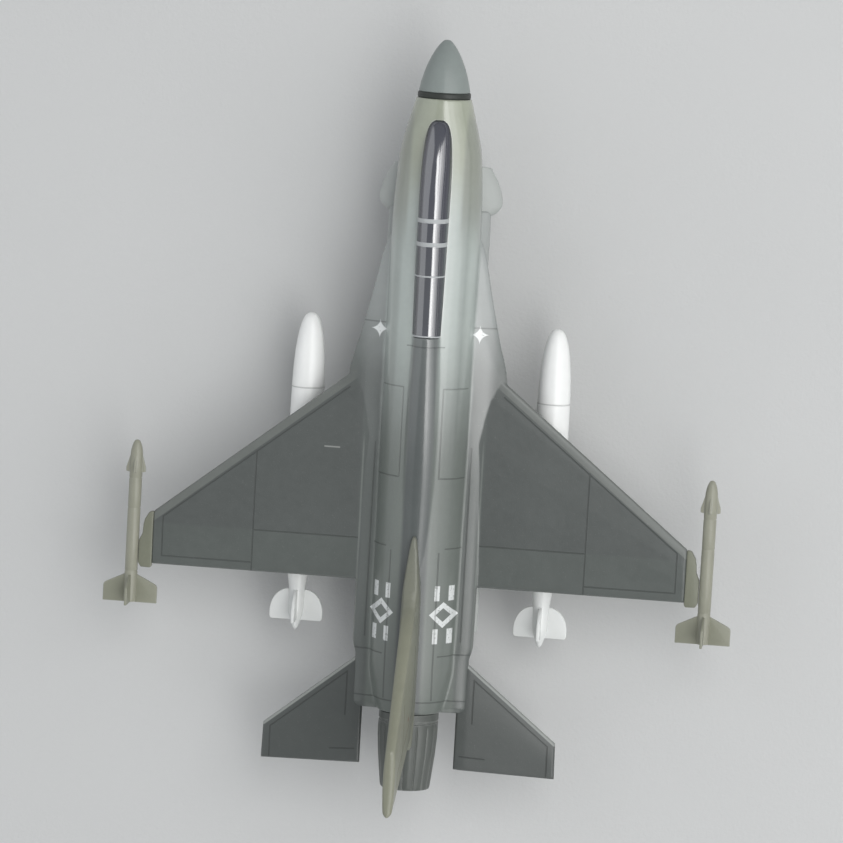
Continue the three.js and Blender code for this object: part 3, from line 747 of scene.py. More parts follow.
def casting_material():
    net = ShaderNet("casting_paint")
    lines = net.panel_lines(net.combine(net.out, net.aft, 0.0), CASTING_LINES)
    wing_below = net.both(net.facing_up(-0.5, -0.8), net.ramp(net.out, 7.6, 7.8))
    lines = net.both(lines, net.union(net.facing_up(0.15, 0.4), wing_below))
    colour = casting_marks(net, casting_zones(net))
    # painted highlight: a faint light line along the side edge of the back
    rim = net.both(net.ramp(net.away(net.out, 7.2), 0.16, 0.04),
                   net.ramp(net.aft, 47.0, 50.0), net.ramp(net.aft, 74.5, 73.0))
    colour = net.layer(colour, srgb(150, 155, 150), rim, strength=0.30)
    # glossy barrel, duller wings and tail end
    gloss = net.mul(net.ramp(net.out, 8.6, 6.9, low=0.25, high=1.0),
                    net.ramp(net.aft, 42.0, 54.0, low=1.0, high=0.3))
    return finish_paint(net, colour, rough=0.38, coat=gloss, coat_ior=1.8, lines=lines,
                        wear=0.5, edge_light=0.35, mottle=0.05)


def fin_material():
    net = ShaderNet("fin_paint")
    x, _, z = net.xyz
    lines = net.panel_lines(net.combine(net.aft, z, 0.0), FIN_LINES, width=0.06)
    wobble = net.wobble(scale=0.4, reach=1.5)
    # painted shade: the fin darker towards its foot and lighter towards its top
    colour = net.layer(srgb(116, 118, 106), srgb(134, 135, 118),
                       net.ramp(net.add(z, wobble), 17.0, 22.0))
    # a small red-brown dot near the base, on the right face only
    on_right = net.math("COMPARE", net.math("SIGN", x), 1.0, 0.1)
    spot = net.combine(net.aft, z, net.mul(net.sub(1.0, on_right), 5.0))
    from_dot = net.vmath("DISTANCE", spot, (80.3, 21.5, 0.0))
    colour = net.layer(colour, srgb(116, 62, 46), net.ramp(from_dot, 0.34, 0.26))
    return finish_paint(net, colour, rough=0.42, coat=0.3, lines=lines, wear=0.35,
                        edge_light=0.25, mottle=0.06)


def underside_material():
    net = ShaderNet("underside_plastic")
    lines = net.panel_lines(net.combine(net.out, net.aft, 0.0), UNDERSIDE_LINES,
                            width=0.09, soft=0.06)
    lines = net.both(lines, net.facing_up(-0.2, -0.5))
    colour = net.layer(srgb(164, 168, 166), srgb(140, 145, 142), net.ramp(net.aft, 52.0, 70.0))
    return finish_paint(net, colour, rough=0.45, coat=0.1, lines=lines, mottle=0.035,
                        dust=0.03, peel=0.008)


def tailplane_material():
    net = ShaderNet("tailplane_paint")
    point = net.combine(net.out, net.aft, 0.0)
    lines = net.panel_lines(point, TAILPLANE_LINES)
    # painted highlight along the leading edge
    from_edge = net.segment(point, (6.9, 75.0), (17.75, 84.0))
    colour = net.layer(srgb(79, 83, 81), srgb(160, 164, 160),
                       net.ramp(from_edge, 0.30, 0.16, high=0.75))
    return finish_paint(net, colour, rough=0.40, coat=0.3, lines=lines, wear=0.4,
                        edge_light=0.5, mottle=0.05)


def store_material():
    net = ShaderNet("store_white_plastic")
    front = net.away(net.aft, STORE_FRONT + 9.0)
    rear = net.away(net.aft, STORE_FRONT + 25.6)
    lines = net.groove(net.math("MINIMUM", front, rear))
    colour = net.layer(srgb(250, 251, 249), srgb(228, 230, 228), net.ramp(net.aft, 64.0, 68.5))
    return finish_paint(net, colour, rough=0.34, coat=0.3, lines=lines, mottle=0.02,
                        dust=0.02, peel=0.006)


def canopy_material():
    net = ShaderNet("canopy_tinted_plastic")
    smear = net.vary(net.noise(0.5, detail=4, rough=0.6), 0.85, 1.15)
    colour = net.layer(srgb(38, 40, 58), srgb(52, 55, 64), net.ramp(net.aft, 18.0, 30.0))
    net.set("Base Color", net.shade(colour, smear))
    net.set("Roughness", net.vary(net.noise(1.4), 0.08, 0.14))
    net.set("Transmission Weight", 0.12)
    net.set("IOR", 1.5)
    # polished crown, duller sides
    net.set("Coat Weight", net.add(0.2, net.mul(0.8, net.facing_up(0.5, 0.82))))
    net.set("Coat IOR", 3.0)
    net.set("Coat Roughness", 0.12)
    net.set("Normal", net.bump(net.noise(0.5, detail=2), distance=0.004))
    return net.material


def tyre_material():
    net = ShaderNet("tyre_plastic")
    patches = net.ramp(net.noise(1.5, detail=4, rough=0.6), 0.35, 0.7)
    colour = net.layer((0.012, 0.012, 0.012, 1), (0.03, 0.03, 0.029, 1), patches)
    specks = net.ramp(net.noise(7.0, rough=0.6), 0.6, 0.7)
    net.set("Base Color", net.layer(colour, (0.16, 0.155, 0.14, 1), specks, strength=0.2))
    net.set("Roughness", net.vary(net.noise(2.0), 0.5, 0.68))
    net.set("Normal", net.bump(net.noise(12.0, rough=0.6), distance=0.012))
    return net.material


def steel_material():
    net = ShaderNet("pin_steel")
    colour = net.layer((0.55, 0.55, 0.54, 1), (0.72, 0.72, 0.70, 1), net.noise(1.2))
    net.set("Base Color", colour)
    net.set("Metallic", 1.0)
    net.set("Roughness", net.vary(net.noise(3.0, detail=4, rough=0.6), 0.22, 0.4))
    net.set("Normal", net.bump(net.noise(14.0, rough=0.6), distance=0.008))
    return net.material


def floor_material():
    net = ShaderNet("floor_paper")
    colour = net.layer((0.60, 0.605, 0.60, 1), (0.66, 0.665, 0.66, 1), net.noise(0.02))
    net.set("Base Color", colour)
    net.set("Roughness", 0.9)
    net.set("Normal", net.bump(net.noise(2.0, detail=4, rough=0.6), distance=0.05))
    # seen only from above, so a camera below the sheet still sees the underside of the toy
    one_sided = net.node("MixShader")
    net.put(one_sided.inputs[0], net.node("NewGeometry").outputs["Backfacing"])
    net.put(one_sided.inputs[1], net.bsdf.outputs[0])
    net.put(one_sided.inputs[2], net.node("BsdfTransparent").outputs[0])
    net.put(net.output.inputs[0], one_sided.outputs[0])
    return net.material


FINISH = {
    "casting": casting_material(),
    "fin": fin_material(),
    "under": underside_material(),
    "light": simple("light_grey_plastic", (176, 180, 177), rough=0.42, coat=0.15, mottle=0.03,
                    edge_light=0.2, peel=0.008),
    "radome": simple("radome_paint", (138, 146, 143), rough=0.45, coat=0.2, mottle=0.05),
    "dark": simple("dark_plastic", (46, 50, 46), rough=0.5, coat=0.1, mottle=0.08, dust=0.06),
    "interior": simple("cockpit_plastic", (60, 64, 66), rough=0.6, coat=0.0, mottle=0.08),
    "cream": simple("cream_plastic", (152, 152, 137), rough=0.4, coat=0.2, mottle=0.05,
                    edge_light=0.2),
    # painted shade: a darker copy of the cream plastic, for the missile tail fins
    "cream_dark": simple("cream_plastic_shaded", (142, 143, 127), rough=0.45, coat=0.15,
                         mottle=0.05, edge_light=0.2),
    "rail": simple("rail_plastic", (122, 124, 108), rough=0.45, coat=0.15, mottle=0.06,
                   edge_light=0.2),
    "frame": simple("canopy_frame_paint", (182, 185, 186), rough=0.4, coat=0.2, mottle=0.04),
    "nozzle": simple("nozzle_paint", (86, 90, 86), rough=0.42, coat=0.2, mottle=0.07,
                     edge_light=0.25, wear=0.2),
    "hub": simple("wheel_hub_plastic", (176, 179, 177), rough=0.42, coat=0.15, mottle=0.04),
    "tailplane": tailplane_material(),
    "store": store_material(),
    "canopy": canopy_material(),
    "tyre": tyre_material(),
    "steel": steel_material(),
}

# ------------------------------------------------------------------ body tables
# columns: station, half width, top z, bottom z, widest z, superellipse power
CORE = [
    [6.95, 3.3, 15.3, 9.0, 12.1, 2.0],
    [9.4, 3.95, 15.75, 8.6, 12, 2.1],
    [11.5, 4.5, 16.0, 8.3, 12, 2.2],
    [13.7, 4.9, 16.2, 8.05, 12, 2.2],
    [17, 5.15, 16.45, 7.8, 12, 2.2],
    [20, 5.3, 16.7, 7.6, 12, 2.2],
    [26, 5.35, 16.9, 7.4, 12, 2.2],
    [35, 5.35, 17.0, 7.2, 12, 2.1],
    [46, 5.3, 16.9, 6.9, 12, 2.1],
    [58, 5.25, 16.75, 6.6, 12, 2],
    [68, 5.2, 16.6, 6.7, 12, 2],
    [75, 5.1, 16.4, 7.0, 12, 2],
    [78.5, 4.6, 16.1, 7.6, 12, 2],
    [BARREL_END, 3.95, 15.85, 8.15, 12, 2],
]
SPINE = [
    [CANOPY_BACK + 0.08, 1.76, 18.2, 14.2, 15.6, 2.2],
    [42, 2.1, 17.9, 14.2, 15.4, 2.2],
    [52, 2.3, 17.35, 14, 15.2, 2.2],
    [60, 2.0, 17.0, 13.8, 15, 2.2],
    [68, 1.4, 16.5, 13.6, 15, 2.2],
]
# strakes and the flat sides of the back
SHELF = [
    [21.8, 4.2, 13.0, 11.2, 12, 1.7],
    [24.5, 5.9, 13.5, 11.0, 12, 1.5],
    [29.9, 7.13, 13.8, 10.7, 12, 1.4],
    [35.3, 8.37, 13.95, 10.6, 12, 1.4],
    [40.7, 9.6, 13.75, 10.5, 12, 1.35],
    [42.5, 9.5, 13.6, 10.5, 12, 1.4],
    [45, 8.8, 13.45, 10.5, 12, 1.6],
    [48.5, 7.6, 13.25, 10.6, 12, 2.4],
    [55, 7.3, 13.15, 10.8, 12, 3.4],
    [72.6, 7.3, 13.15, 10.8, 12, 3.4],
    [74.5, 6.9, 13.1, 10.9, 12, 3.4],
    [80.2, 6.85, 13.0, 10.9, 12, 3.4],
    [BARREL_END, 6.5, 12.8, 11.1, 12, 3.0],
]
DUCT = [
    [20.3, 6.1, 10.85, 6.0, 9.3, 2.7],
    [24, 6.15, 11.2, 5.9, 9.3, 2.7],
    [35, 6.15, 11.2, 5.9, 9.3, 2.7],
    [48, 5.9, 11.2, 6.0, 9.3, 2.6],
    [60, 5.3, 11.2, 6.3, 9.3, 2.4],
    [67, 4.3, 11.2, 6.8, 9.3, 2.2],
]
CANOPY = [
    [CANOPY_FRONT, 0.62, 15.85, 14.6, 15.3, 2],
    [CANOPY_FRONT + 0.25, 0.95, 16.2, 14.5, 15.35, 2],
    [10.4, 1.3, 16.75, 14.4, 15.45, 2],
    [12.2, 1.62, 17.6, 14.2, 15.7, 2.2],
    [15, 1.8, 18.5, 14.0, 16.0, 2.4],
    [18.5, 1.84, 19.1, 13.8, 16.2, 2.45],
    [23, 1.82, 19.15, 13.8, 16.2, 2.45],
    [28, 1.78, 18.75, 13.8, 16.1, 2.4],
    [CANOPY_BACK, 1.72, 18.2, 13.8, 16.0, 2.3],
]
COWL = [
    [15.0, 6.0, 10.4, 6.3, 8.9, 2.3],
    [16.5, 6.75, 10.45, 5.9, 8.9, 2.35],
    [18.0, 7.22, 10.5, 5.6, 8.9, 2.4],
    [19.2, 7.42, 10.5, 5.4, 8.9, 2.5],
    [19.8, 7.3, 10.45, 5.45, 8.9, 2.5],
    [20.4, 6.85, 10.4, 5.6, 8.9, 2.5],
    [20.8, 6.3, 10.3, 5.9, 8.9, 2.5],
]
# raised fairing at the foot of the fin
FAIRING = [
    [70, 0.6, 16.8, 15.0, 15.9, 2],
    [74, 1.0, 17.15, 15.0, 15.9, 2.2],
    [80.5, 1.12, 17.3, 15.6, 16.3, 2.3],
    [84.4, 1.0, 17.15, 15.75, 16.4, 2.4],
    [85.0, 0.75, 16.9, 15.95, 16.4, 2.4],
]


def shift_ends(rows, first, last):
    """Copy of a body table with its end stations moved."""
    rows = [list(row) for row in rows]
    rows[0][0] += first
    rows[-1][0] += last
    return rows


def engine_bore():
    return rod("y", 2.9, 7, (0, NOSE_Y - BARREL_END, ENGINE_Z), 64)


# ------------------------------------------------------------------ casting with wings
def wing_panel():
    chord_shares = [0, 0.04, 0.12, 0.35, 0.6, 0.85, 1]
    thickness_shares = [0.42, 0.58, 0.8, 1.0, 0.92, 0.58, 0.42]

    def corner(u, v):  # u along the chord, v along the span
        x = v * WING_TIP_X
        return x, lerp(wing_leading(x), WING_TRAILING, u)

    def half(u, v):
        return (0.80 - 0.33 * v) * np.interp(u, chord_shares, thickness_shares)

    return slab(corner, half, 0.25, 60, 70, lambda x, aft, offset: (x, NOSE_Y - aft, WING_Z + offset))


parts = [loft(CORE, 120, 0.5, floor=CASTING_FLOOR), loft(SPINE, 60, 0.5, floor=CASTING_FLOOR),
         loft(SHELF, 120, 0.5, floor=CASTING_FLOOR), to_side(wing_panel(), -1), wing_panel()]
casting = voxel(merge(parts), size=0.13, smooth=3)
# seats for the canopy, the cockpit and the nozzle
cut(casting, loft(shift_ends(CANOPY, -0.03, 0.03), 96, 0.3, grow=0.025))
cut(casting, box((-1.38, 1.38), (12.3, 31.7), (13.2, 17)))
cut(casting, engine_bore())
done(casting, "casting", "casting", ["upper_casting"], sharp=50)
casting.name = "casting_with_wings"

# ------------------------------------------------------------------ plastic underside
SLOT_BOTTOM = 4


def leg_slot(across, leg_box, play):
    """Slot around a leg, with play before and behind it."""
    lo, hi = leg_box
    return box(across, (station(hi[1]) - play, station(lo[1]) + play), (SLOT_BOTTOM, hi[2] + 0.1))


pad = bevel(box((-3.4, 3.4), (40, 50), (5.6, 8)), 0.25, 3)
underside = merge([loft(CORE, 120, 0.5, ceiling=UNDERSIDE_TOP),
                   loft(DUCT, 100, 0.5, ceiling=UNDERSIDE_TOP), pad])
voxel(underside, size=0.15, smooth=2)
main_leg = box_mm("right_main_leg")
for side, _ in SIDES:
    edges = sorted((side * (main_leg[0][0] - 0.12), side * (main_leg[1][0] + 0.12)))
    cut(underside, leg_slot(edges, main_leg, 0.12))
cut(underside, leg_slot((-1.1, 1.1), box_mm("nose_leg"), 0.1))
for screw in ("front_screw", "rear_screw"):
    lo, hi = box_mm(screw)
    cut(underside, rod("z", 1.38, 4, (0, (lo[1] + hi[1]) / 2, lo[2] + 0.9 - 2), 40))
cut(underside, engine_bore())
done(underside, "underside", "under", ["lower_body"], sharp=50)
underside.name = "underside_moulding"


def ventral_corner(u, v):
    return lerp(61.5 + 1.9 * v, 71.5 - 1.3 * v, u), 8.6 - 3.6 * v


for side, tag in SIDES:
    ventral = slab(ventral_corner, lambda u, v: 0.3, 0.22, 30, 20, upright())
    transform(ventral, Matrix.Rotation(math.radians(14), 4, "Y"))
    to_side(move(ventral, (5.0, 0, 0.3)), side)
    done(ventral, f"{tag}_ventral_fin", "light")

# ------------------------------------------------------------------ nose, (radius, y) profiles
RADOME_CURVE = [
    (0, 0), (0.35, -0.08), (0.62, -0.3), (1.15, -0.95), (1.8, -2.1), (2.38, -3.5),
    (2.8, -4.9), (3.05, -6.05),
]
RADOME_BACK = [(3.04, -6.14), (2.98, -6.2), (1.4, -6.2), (1.4, -9.2), (0.0, -9.2)]
NOSE_BAND = [
    (1.5, -6.22), (3.06, -6.22), (3.13, -6.28), (3.16, -6.42), (3.17, -6.7), (3.15, -6.85),
    (3.08, -6.92), (1.5, -6.92), (1.5, -6.22),
]
radome = move(lathe(curve_profile(RADOME_CURVE, 0.12) + RADOME_BACK, 80), (0, NOSE_Y, RADOME_Z))
done(radome, "radome_cone", "radome", ["radome"])
band = move(lathe(NOSE_BAND, 80), (0, NOSE_Y, RADOME_Z))
done(band, "nose_band", "dark", ["nose_ring"])

# ------------------------------------------------------------------ canopy and its frames
CANOPY_WALL = 0.42
bubble = loft(CANOPY, 96, 0.2, floor=SILL_Z)
hollow = [[aft, max(half_width - CANOPY_WALL, 0.15), top - CANOPY_WALL, *rest]
          for aft, half_width, top, *rest in shift_ends(CANOPY, 0.6, -0.5)]
hollow[1][0] = hollow[0][0] + 0.25
cut(bubble, loft(hollow, 96, 0.2))
done(bubble, "canopy_bubble", "canopy", ["canopy"], sharp=40)

CANOPY_FINE = smooth_rows(CANOPY, 0.1)


def hoop(front, back, lift=0.05):
    """A band that follows the canopy's skin between two stations."""
    angles = np.linspace(-math.pi / 2, math.pi / 2, 61)

    def arch(aft, offset):
        _, half_width, top, _, middle, power = [
            np.interp(aft, CANOPY_FINE[:, 0], column) for column in CANOPY_FINE.T]
        across = signed_power(np.sin(angles), power) * (half_width + offset)
        rise = signed_power(np.cos(angles), power) * (top - middle + offset)
        z = np.maximum(middle + rise, SILL_Z + 0.02)
        return np.stack([across, np.full(61, NOSE_Y - aft), z], 1)

    rings = []
    for aft in np.linspace(front, back, 6):
        edge = lift if front < aft < back else lift * 0.35
        rings.append(np.concatenate([arch(aft, edge), arch(aft, -0.12)[::-1]]))
    return skin(rings)


hoops = merge([hoop(20.85, 21.35), hoop(23.65, 24.15), hoop(27.62, 27.80, 0.03),
               hoop(CANOPY_BACK - 0.16, CANOPY_BACK + 0.02, 0.03)])
done(hoops, "canopy_frames", "frame", sharp=50)

# ------------------------------------------------------------------ cockpit
well = cut(box((-1.29, 1.29), (12.46, 31.54), (13.36, 15.2)),
           box((-0.95, 0.95), (13.0, 31.0), (13.75, 16)))
cockpit = merge([
    bevel(well, 0.08, 2),
    bevel(box((-0.93, -0.5), (15.6, 21.0), (13.8, 14.7)), 0.06, 2),
    bevel(box((0.5, 0.93), (15.6, 21.0), (13.8, 14.7)), 0.06, 2),
    bevel(box((-0.9, 0.9), (25.8, 30.8), (13.8, 15.6)), 0.15, 2),
])
done(cockpit, "cockpit_well", "interior", ["cockpit_tub"])

# (station, z) outlines
SEAT_CUSHION = [(21.4, 13.8), (24.2, 13.8), (24.2, 14.6), (21.5, 14.9)]
SEAT_BACK = [(23.3, 13.9), (24.4, 13.9), (25.2, 17.4), (24.5, 17.5), (23.6, 15.0)]
HEADREST = [(24.2, 16.9), (24.9, 16.8), (25.2, 17.8), (24.4, 17.9)]
HOOD_BODY = [(14.0, 13.8), (17.2, 13.8), (17.2, 16.0), (16.4, 16.7), (14.4, 16.0)]
HOOD_TOP = [(15.6, 16.5), (16.3, 16.6), (16.2, 17.3), (15.7, 17.2)]
seat = merge([
    bevel(side_prism(SEAT_CUSHION, -0.75, 0.75), 0.1, 3),
    bevel(side_prism(SEAT_BACK, -0.7, 0.7), 0.12, 3),
    bevel(side_prism(HEADREST, -0.45, 0.45), 0.12, 3),
    bevel(box((-0.82, -0.68), (21.8, 24.2), (14.4, 15.1)), 0.05, 2),
    bevel(box((0.68, 0.82), (21.8, 24.2), (14.4, 15.1)), 0.05, 2),
])
done(seat, "seat_with_headrest", "dark", ["ejection_seat"])
hood = merge([bevel(side_prism(HOOD_BODY, -0.8, 0.8), 0.15, 3),
              bevel(side_prism(HOOD_TOP, -0.3, 0.3), 0.05, 2)])
done(hood, "glare_hood", "dark", ["instrument_coaming"])


# ------------------------------------------------------------------ intake cowl
def intake_cowl():
    """Outer skin from back to front, round lip, then the inner duct running aft."""
    lip_radius = 0.26
    outer = smooth_rows(COWL, 0.25)[::-1]
    front = outer[-1]
    inset = np.array([0, -1, -1, 1, 0, 0])  # narrows a row all round
    rows = list(outer)
    for k in range(1, 8):
        angle = math.pi * k / 8
        row = front + inset * lip_radius * (1 - math.cos(angle))
        row[0] = front[0] - lip_radius * math.sin(angle)
        rows.append(row)
    aft, half_width, top, bottom = (front + inset * 2 * lip_radius)[:4]
    for depth in np.linspace(0.0, 4.3, 12):
        flare = min(depth, 2.6)
        rows.append([aft + depth, half_width + flare * 0.30, top, bottom - flare * 0.25,
                     8.8, 2.35])
    cowl = skin([ring_points(row, 110) for row in rows])
    # rake the lip: the lower it is, the further aft
    for vertex in cowl.data.vertices:
        fade = min(1.0, max(0.0, (19 - station(vertex.co.y)) / 4))
        vertex.co.y -= max(0.0, 0.3 * (10.4 - vertex.co.z)) * fade
    core = [[13.5, 4.9, 16.2, 8.05, 12, 2.2], *[row for row in CORE if row[0] >= 17]]
    return cut(cowl, loft(core, 120, 0.4, grow=0.03), "EXACT")


done(intake_cowl(), "intake_lip", "light", ["intake_cowl"], sharp=45)

# ------------------------------------------------------------------ fin
FIN_BOTTOM = 15.3
# (z, station) along the front and back edges
FIN_LEADING = [
    (15.2, 58.7), (16.2, 58.8), (17.4, 59.0), (17.75, 59.9), (18.1, 62.5), (18.5, 65.8),
    (19.2, 67.3), (FIN_TOP, 82.6),
]
FIN_TRAILING = [(15.2, 83.7), (17.2, 84.2), (FIN_TOP, LENGTH)]
# (station, half thickness): the front narrows to a spear point seen from above
FIN_SPEAR = [(58.6, 0.30), (60.5, 0.62), (64.0, 1.0), (68.0, 1.25)]


def along(table, value):
    return float(np.interp(value, *zip(*table)))


def fin_corner(u, v):
    z = lerp(FIN_BOTTOM, FIN_TOP, v)
    return lerp(along(FIN_LEADING, z), along(FIN_TRAILING, z), u), z


def fin_half(u, v):
    aft = fin_corner(u, v)[0]
    thickness = min(1.18 * (1 - v) + 0.70 * v, along(FIN_SPEAR, aft))
    return thickness * (0.66 + 0.34 * math.sin(math.pi * min(max(u, 0), 1)) ** 0.6)


fin = merge([slab(fin_corner, fin_half, 0.5, 60, 90, upright()), loft(FAIRING, 40, 0.3)])
voxel(fin, size=0.12, smooth=2)
done(fin, "tail_fin", "fin", ["vertical_fin"], sharp=60)


# ------------------------------------------------------------------ tailplanes
def tail_place(x, aft, offset):
    """Thinner and lower towards the tip."""
    outward = max(0.0, x - 7) / 11
    return x, NOSE_Y - aft, 11.9 + offset * (1 - 0.25 * outward) - 1.2 * outward


def tail_corner(u, v):
    return (lerp(5.7, 17.8 + 0.1 * u, v),
            lerp(lerp(73.86, 87.8, u), lerp(83.9, 88.3, u), v))


def tail_half(u, v):
    return 0.5 * (0.7 + 0.3 * math.sin(math.pi * u))


for side, tag in SIDES:
    tailplane = to_side(slab(tail_corner, tail_half, 0.28, 44, 44, tail_place), side)
    done(tailplane, f"{tag}_stabilator", "tailplane", [f"{tag}_tailplane"],
         sharp=60)

# ------------------------------------------------------------------ exhaust
PETALS = 15
PETALS_START = BARREL_END + 1.3
OUTER_SKIN_RADIUS = 2.84  # larger radii belong to the outside of the nozzle
# (radius, y)
NOZZLE = [
    (0, -BARREL_END + 3), (2.3, -BARREL_END + 3), (2.3, -BARREL_END - 0.05),
    (3.45, -BARREL_END - 0.05), (3.6, -BARREL_END - 0.2), (3.62, -BARREL_END - 1.0),
    (3.5, -BARREL_END - 1.1), (3.5, -BARREL_END - 1.25), (3.6, -BARREL_END - 1.35),
    (3.58, -84.0), (3.42, -86.2), (3.2, -88.2), (2.98, -90.1), (2.93, -NOZZLE_END),
    (2.72, -NOZZLE_END), (2.66, -90.1), (2.7, -88.0), (2.75, -86.0), (2.75, -84.65),
    (2.72, -84.6), (0, -84.6),
]
ROTOR_CONE = [(0, -85.9), (0.25, -85.8), (0.5, -85.45), (0.7, -84.95), (0.72, -84.66), (0, -84.66)]
ROTOR_PLATE = [(0, -84.8), (2.6, -84.8), (2.66, -84.76), (2.66, -84.66), (0, -84.66)]
ROTOR_HOOP = [(1.5, -85.25), (1.62, -85.25), (1.62, -85.1), (1.5, -85.1), (1.5, -85.25)]
BLADES = 20


def petal_shape(angle, radius, y):
    """Rounds each petal and sinks a groove between neighbours."""
    if radius <= OUTER_SKIN_RADIUS or not -(NOZZLE_END - 0.02) < y < -PETALS_START:
        return radius
    phase = (angle * PETALS / (2 * math.pi)) % 1.0
    groove = math.exp(-((min(phase, 1 - phase)) / 0.045) ** 2)
    crown = 0.05 * math.cos((phase - 0.5) * 2 * math.pi)
    fade = min(1.0, (-PETALS_START - y) / 0.8)
    return radius + fade * (crown - 0.11 * groove)


def rotor_blade(index):
    blade = box((-0.045, 0.045), (85.15, 84.78), (0.72, 2.45), nose_y=0)
    pitch_axis = Matrix.Translation((0, -84.96, 0))
    transform(blade, pitch_axis @ Matrix.Rotation(0.5, 4, "Z") @ pitch_axis.inverted())
    return transform(blade, Matrix.Rotation(index * math.pi / (BLADES / 2), 4, "Y"))


nozzle = lathe(subdivide(NOZZLE, 0.3), PETALS * 14, petal_shape)
move(nozzle, (0, NOSE_Y, ENGINE_Z))
done(nozzle, "exhaust_petals", "nozzle", ["exhaust_nozzle"], sharp=40)
rotor = merge([lathe(ROTOR_CONE, 40), lathe(ROTOR_PLATE, 64),
               *[rotor_blade(k) for k in range(BLADES)], lathe(ROTOR_HOOP, 64)])
move(rotor, (0, NOSE_Y, ENGINE_Z))
done(rotor, "turbine_rotor", "dark", ["turbine_face"], sharp=30)

# ------------------------------------------------------------------ stores, missiles, rails, pylons
# profiles are (radius, y), fin outlines are (radius, distance aft)
STORE_PROFILE = [
    (0, 0), (0.28, -0.04), (0.5, -0.14), (0.85, -0.5), (1.15, -1.15), (1.5, -2.6), (1.8, -5),
    (1.95, -8), (2.0, -12), (2.0, -19), (1.88, -24.5), (1.6, -29), (1.25, -32), (0.98, -34.2),
    (0.92, -36.4), (0.66, -37.5), (0.3, -38.5), (0, -38.9),
]
STORE_FIN = [
    (0.4, 33.8),
    *[(0.95 + 2.3 * math.sin(math.radians(angle)), 36.7 - 2.9 * math.cos(math.radians(angle)))
      for angle in range(0, 91, 9)],
    (3.22, 37.3), (3.05, 37.6), (0.4, 37.6),
]
MISSILE_NOSE = [(0, 0), (0.22, -0.06), (0.4, -0.3), (0.62, -0.9), (0.74, -1.6), (0.775, -2.4)]
MISSILE_BODY = [
    (0.775, -4.55), (0.74, -4.6), (0.74, -4.72), (0.775, -4.77), (0.775, -8.2), (0.745, -8.25),
    (0.745, -8.35), (0.775, -8.4), (0.775, -15.9), (0.74, -15.95), (0.74, -16.05),
    (0.775, -16.1), (0.775, -19.5), (0.7, -19.8), (0.5, -19.85), (0.48, -19.6), (0, -19.6),
]
CANARD = [(0.4, 1.6), (0.68, 1.68), (1.2, 3.4), (1.2, 3.9), (0.72, 4.0), (0.4, 4.0)]
MISSILE_FIN = [
    (0.4, 16.4), (0.8, 16.45), (2.95, 17.5), (3.2, 17.7), (3.3, 17.95), (3.3, 19.85),
    (0.4, 19.85),
]


def cross_fins(outline, half, width):
    """Four bevelled plates standing out from the Y axis."""
    return [transform(bevel(plan_prism(outline, -half, half, nose_y=0), width, 3),
                      Matrix.Rotation(quarter * math.pi / 2, 4, "Y")) for quarter in range(4)]


def add_store(side, tag):
    store = merge([lathe(curve_profile(STORE_PROFILE, 0.3), 72), *cross_fins(STORE_FIN, 0.2, 0.1)])
    move(store, (side * STORE_CENTRE[0], NOSE_Y - STORE_FRONT, STORE_CENTRE[2]))
    done(store, f"{tag}_drop_store", "store", [f"{tag}_store"], sharp=40)


def add_missile(side, tag):
    place = (side * MISSILE_CENTRE[0], NOSE_Y - MISSILE_FRONT, MISSILE_CENTRE[2])
    body = lathe(curve_profile(MISSILE_NOSE, 0.1) + MISSILE_BODY, 56)
    body = move(merge([body, *cross_fins(CANARD, 0.13, 0.07)]), place)
    done(body, f"{tag}_tip_missile", "cream", [f"{tag}_missile"], sharp=40)
    # the tail fins take the painted-shade copy of the cream plastic
    fins = move(merge(cross_fins(MISSILE_FIN, 0.16, 0.08)), place)
    done(fins, f"{tag}_tip_missile_fins", "cream_dark", sharp=40)


def add_rail(side, tag):
    lo, hi = box_mm(f"{tag}_launch_rail")
    inner, outer = sorted((abs(lo[0]), abs(hi[0])))
    outline = [
        (inner - 0.05, 59.0), (inner + 0.3, 59.0), (inner + 0.55, 59.15), (inner + 1.03, 60.0),
        (inner + 1.16, 60.7), (inner + 1.23, 61.7), (outer + 0.02, 62.6), (outer + 0.02, 65.3),
        (outer - 0.3, 65.85), (inner + 0.1, 65.9), (inner - 0.05, 65.6),
    ]
    rail = to_side(bevel(plan_prism(outline, WING_Z - 0.48, WING_Z + 0.30), 0.14, 3), side)
    done(rail, f"{tag}_tip_rail", "rail", [f"{tag}_launch_rail"], sharp=40)


def pylon_corner(u, v):
    return lerp(47.7 - 1.0 * v, 60.0 + 1.4 * v, u), 9.35 + 2.45 * v


def pylon_half(u, v):
    return 0.5 * (0.55 + 0.45 * math.sin(math.pi * u) ** 0.5)


def add_pylon(side, tag):
    pylon = slab(pylon_corner, pylon_half, 0.3, 40, 16, upright(STORE_CENTRE[0] * side))
    done(pylon, f"{tag}_wing_pylon", "light", [f"{tag}_pylon"], sharp=60)


for side, tag in SIDES:
    add_store(side, tag)
    add_missile(side, tag)
    add_rail(side, tag)
    add_pylon(side, tag)

# ------------------------------------------------------------------ legs
NOSE_WHEEL, MAIN_WHEEL = JOINT["nose_wheel"], JOINT["right_main_wheel"]
NOSE_AXLE_STATION, MAIN_AXLE_STATION = station(NOSE_WHEEL[1]), station(MAIN_WHEEL[1])


def tyre_width(wheel):
    lo, hi = box_mm(f"{wheel}_tyre")
    return hi[0] - lo[0]


NOSE_TYRE_WIDTH = tyre_width("nose_wheel")
MAIN_TYRE_WIDTH = tyre_width("right_main_wheel")
NOSE_HALF = NOSE_TYRE_WIDTH / 2
FORK_OUTER = NOSE_HALF + 0.6


def arc(aft, z, radius, degrees):
    return [(aft + radius * math.cos(math.radians(angle)),
             z + radius * math.sin(math.radians(angle))) for angle in degrees]


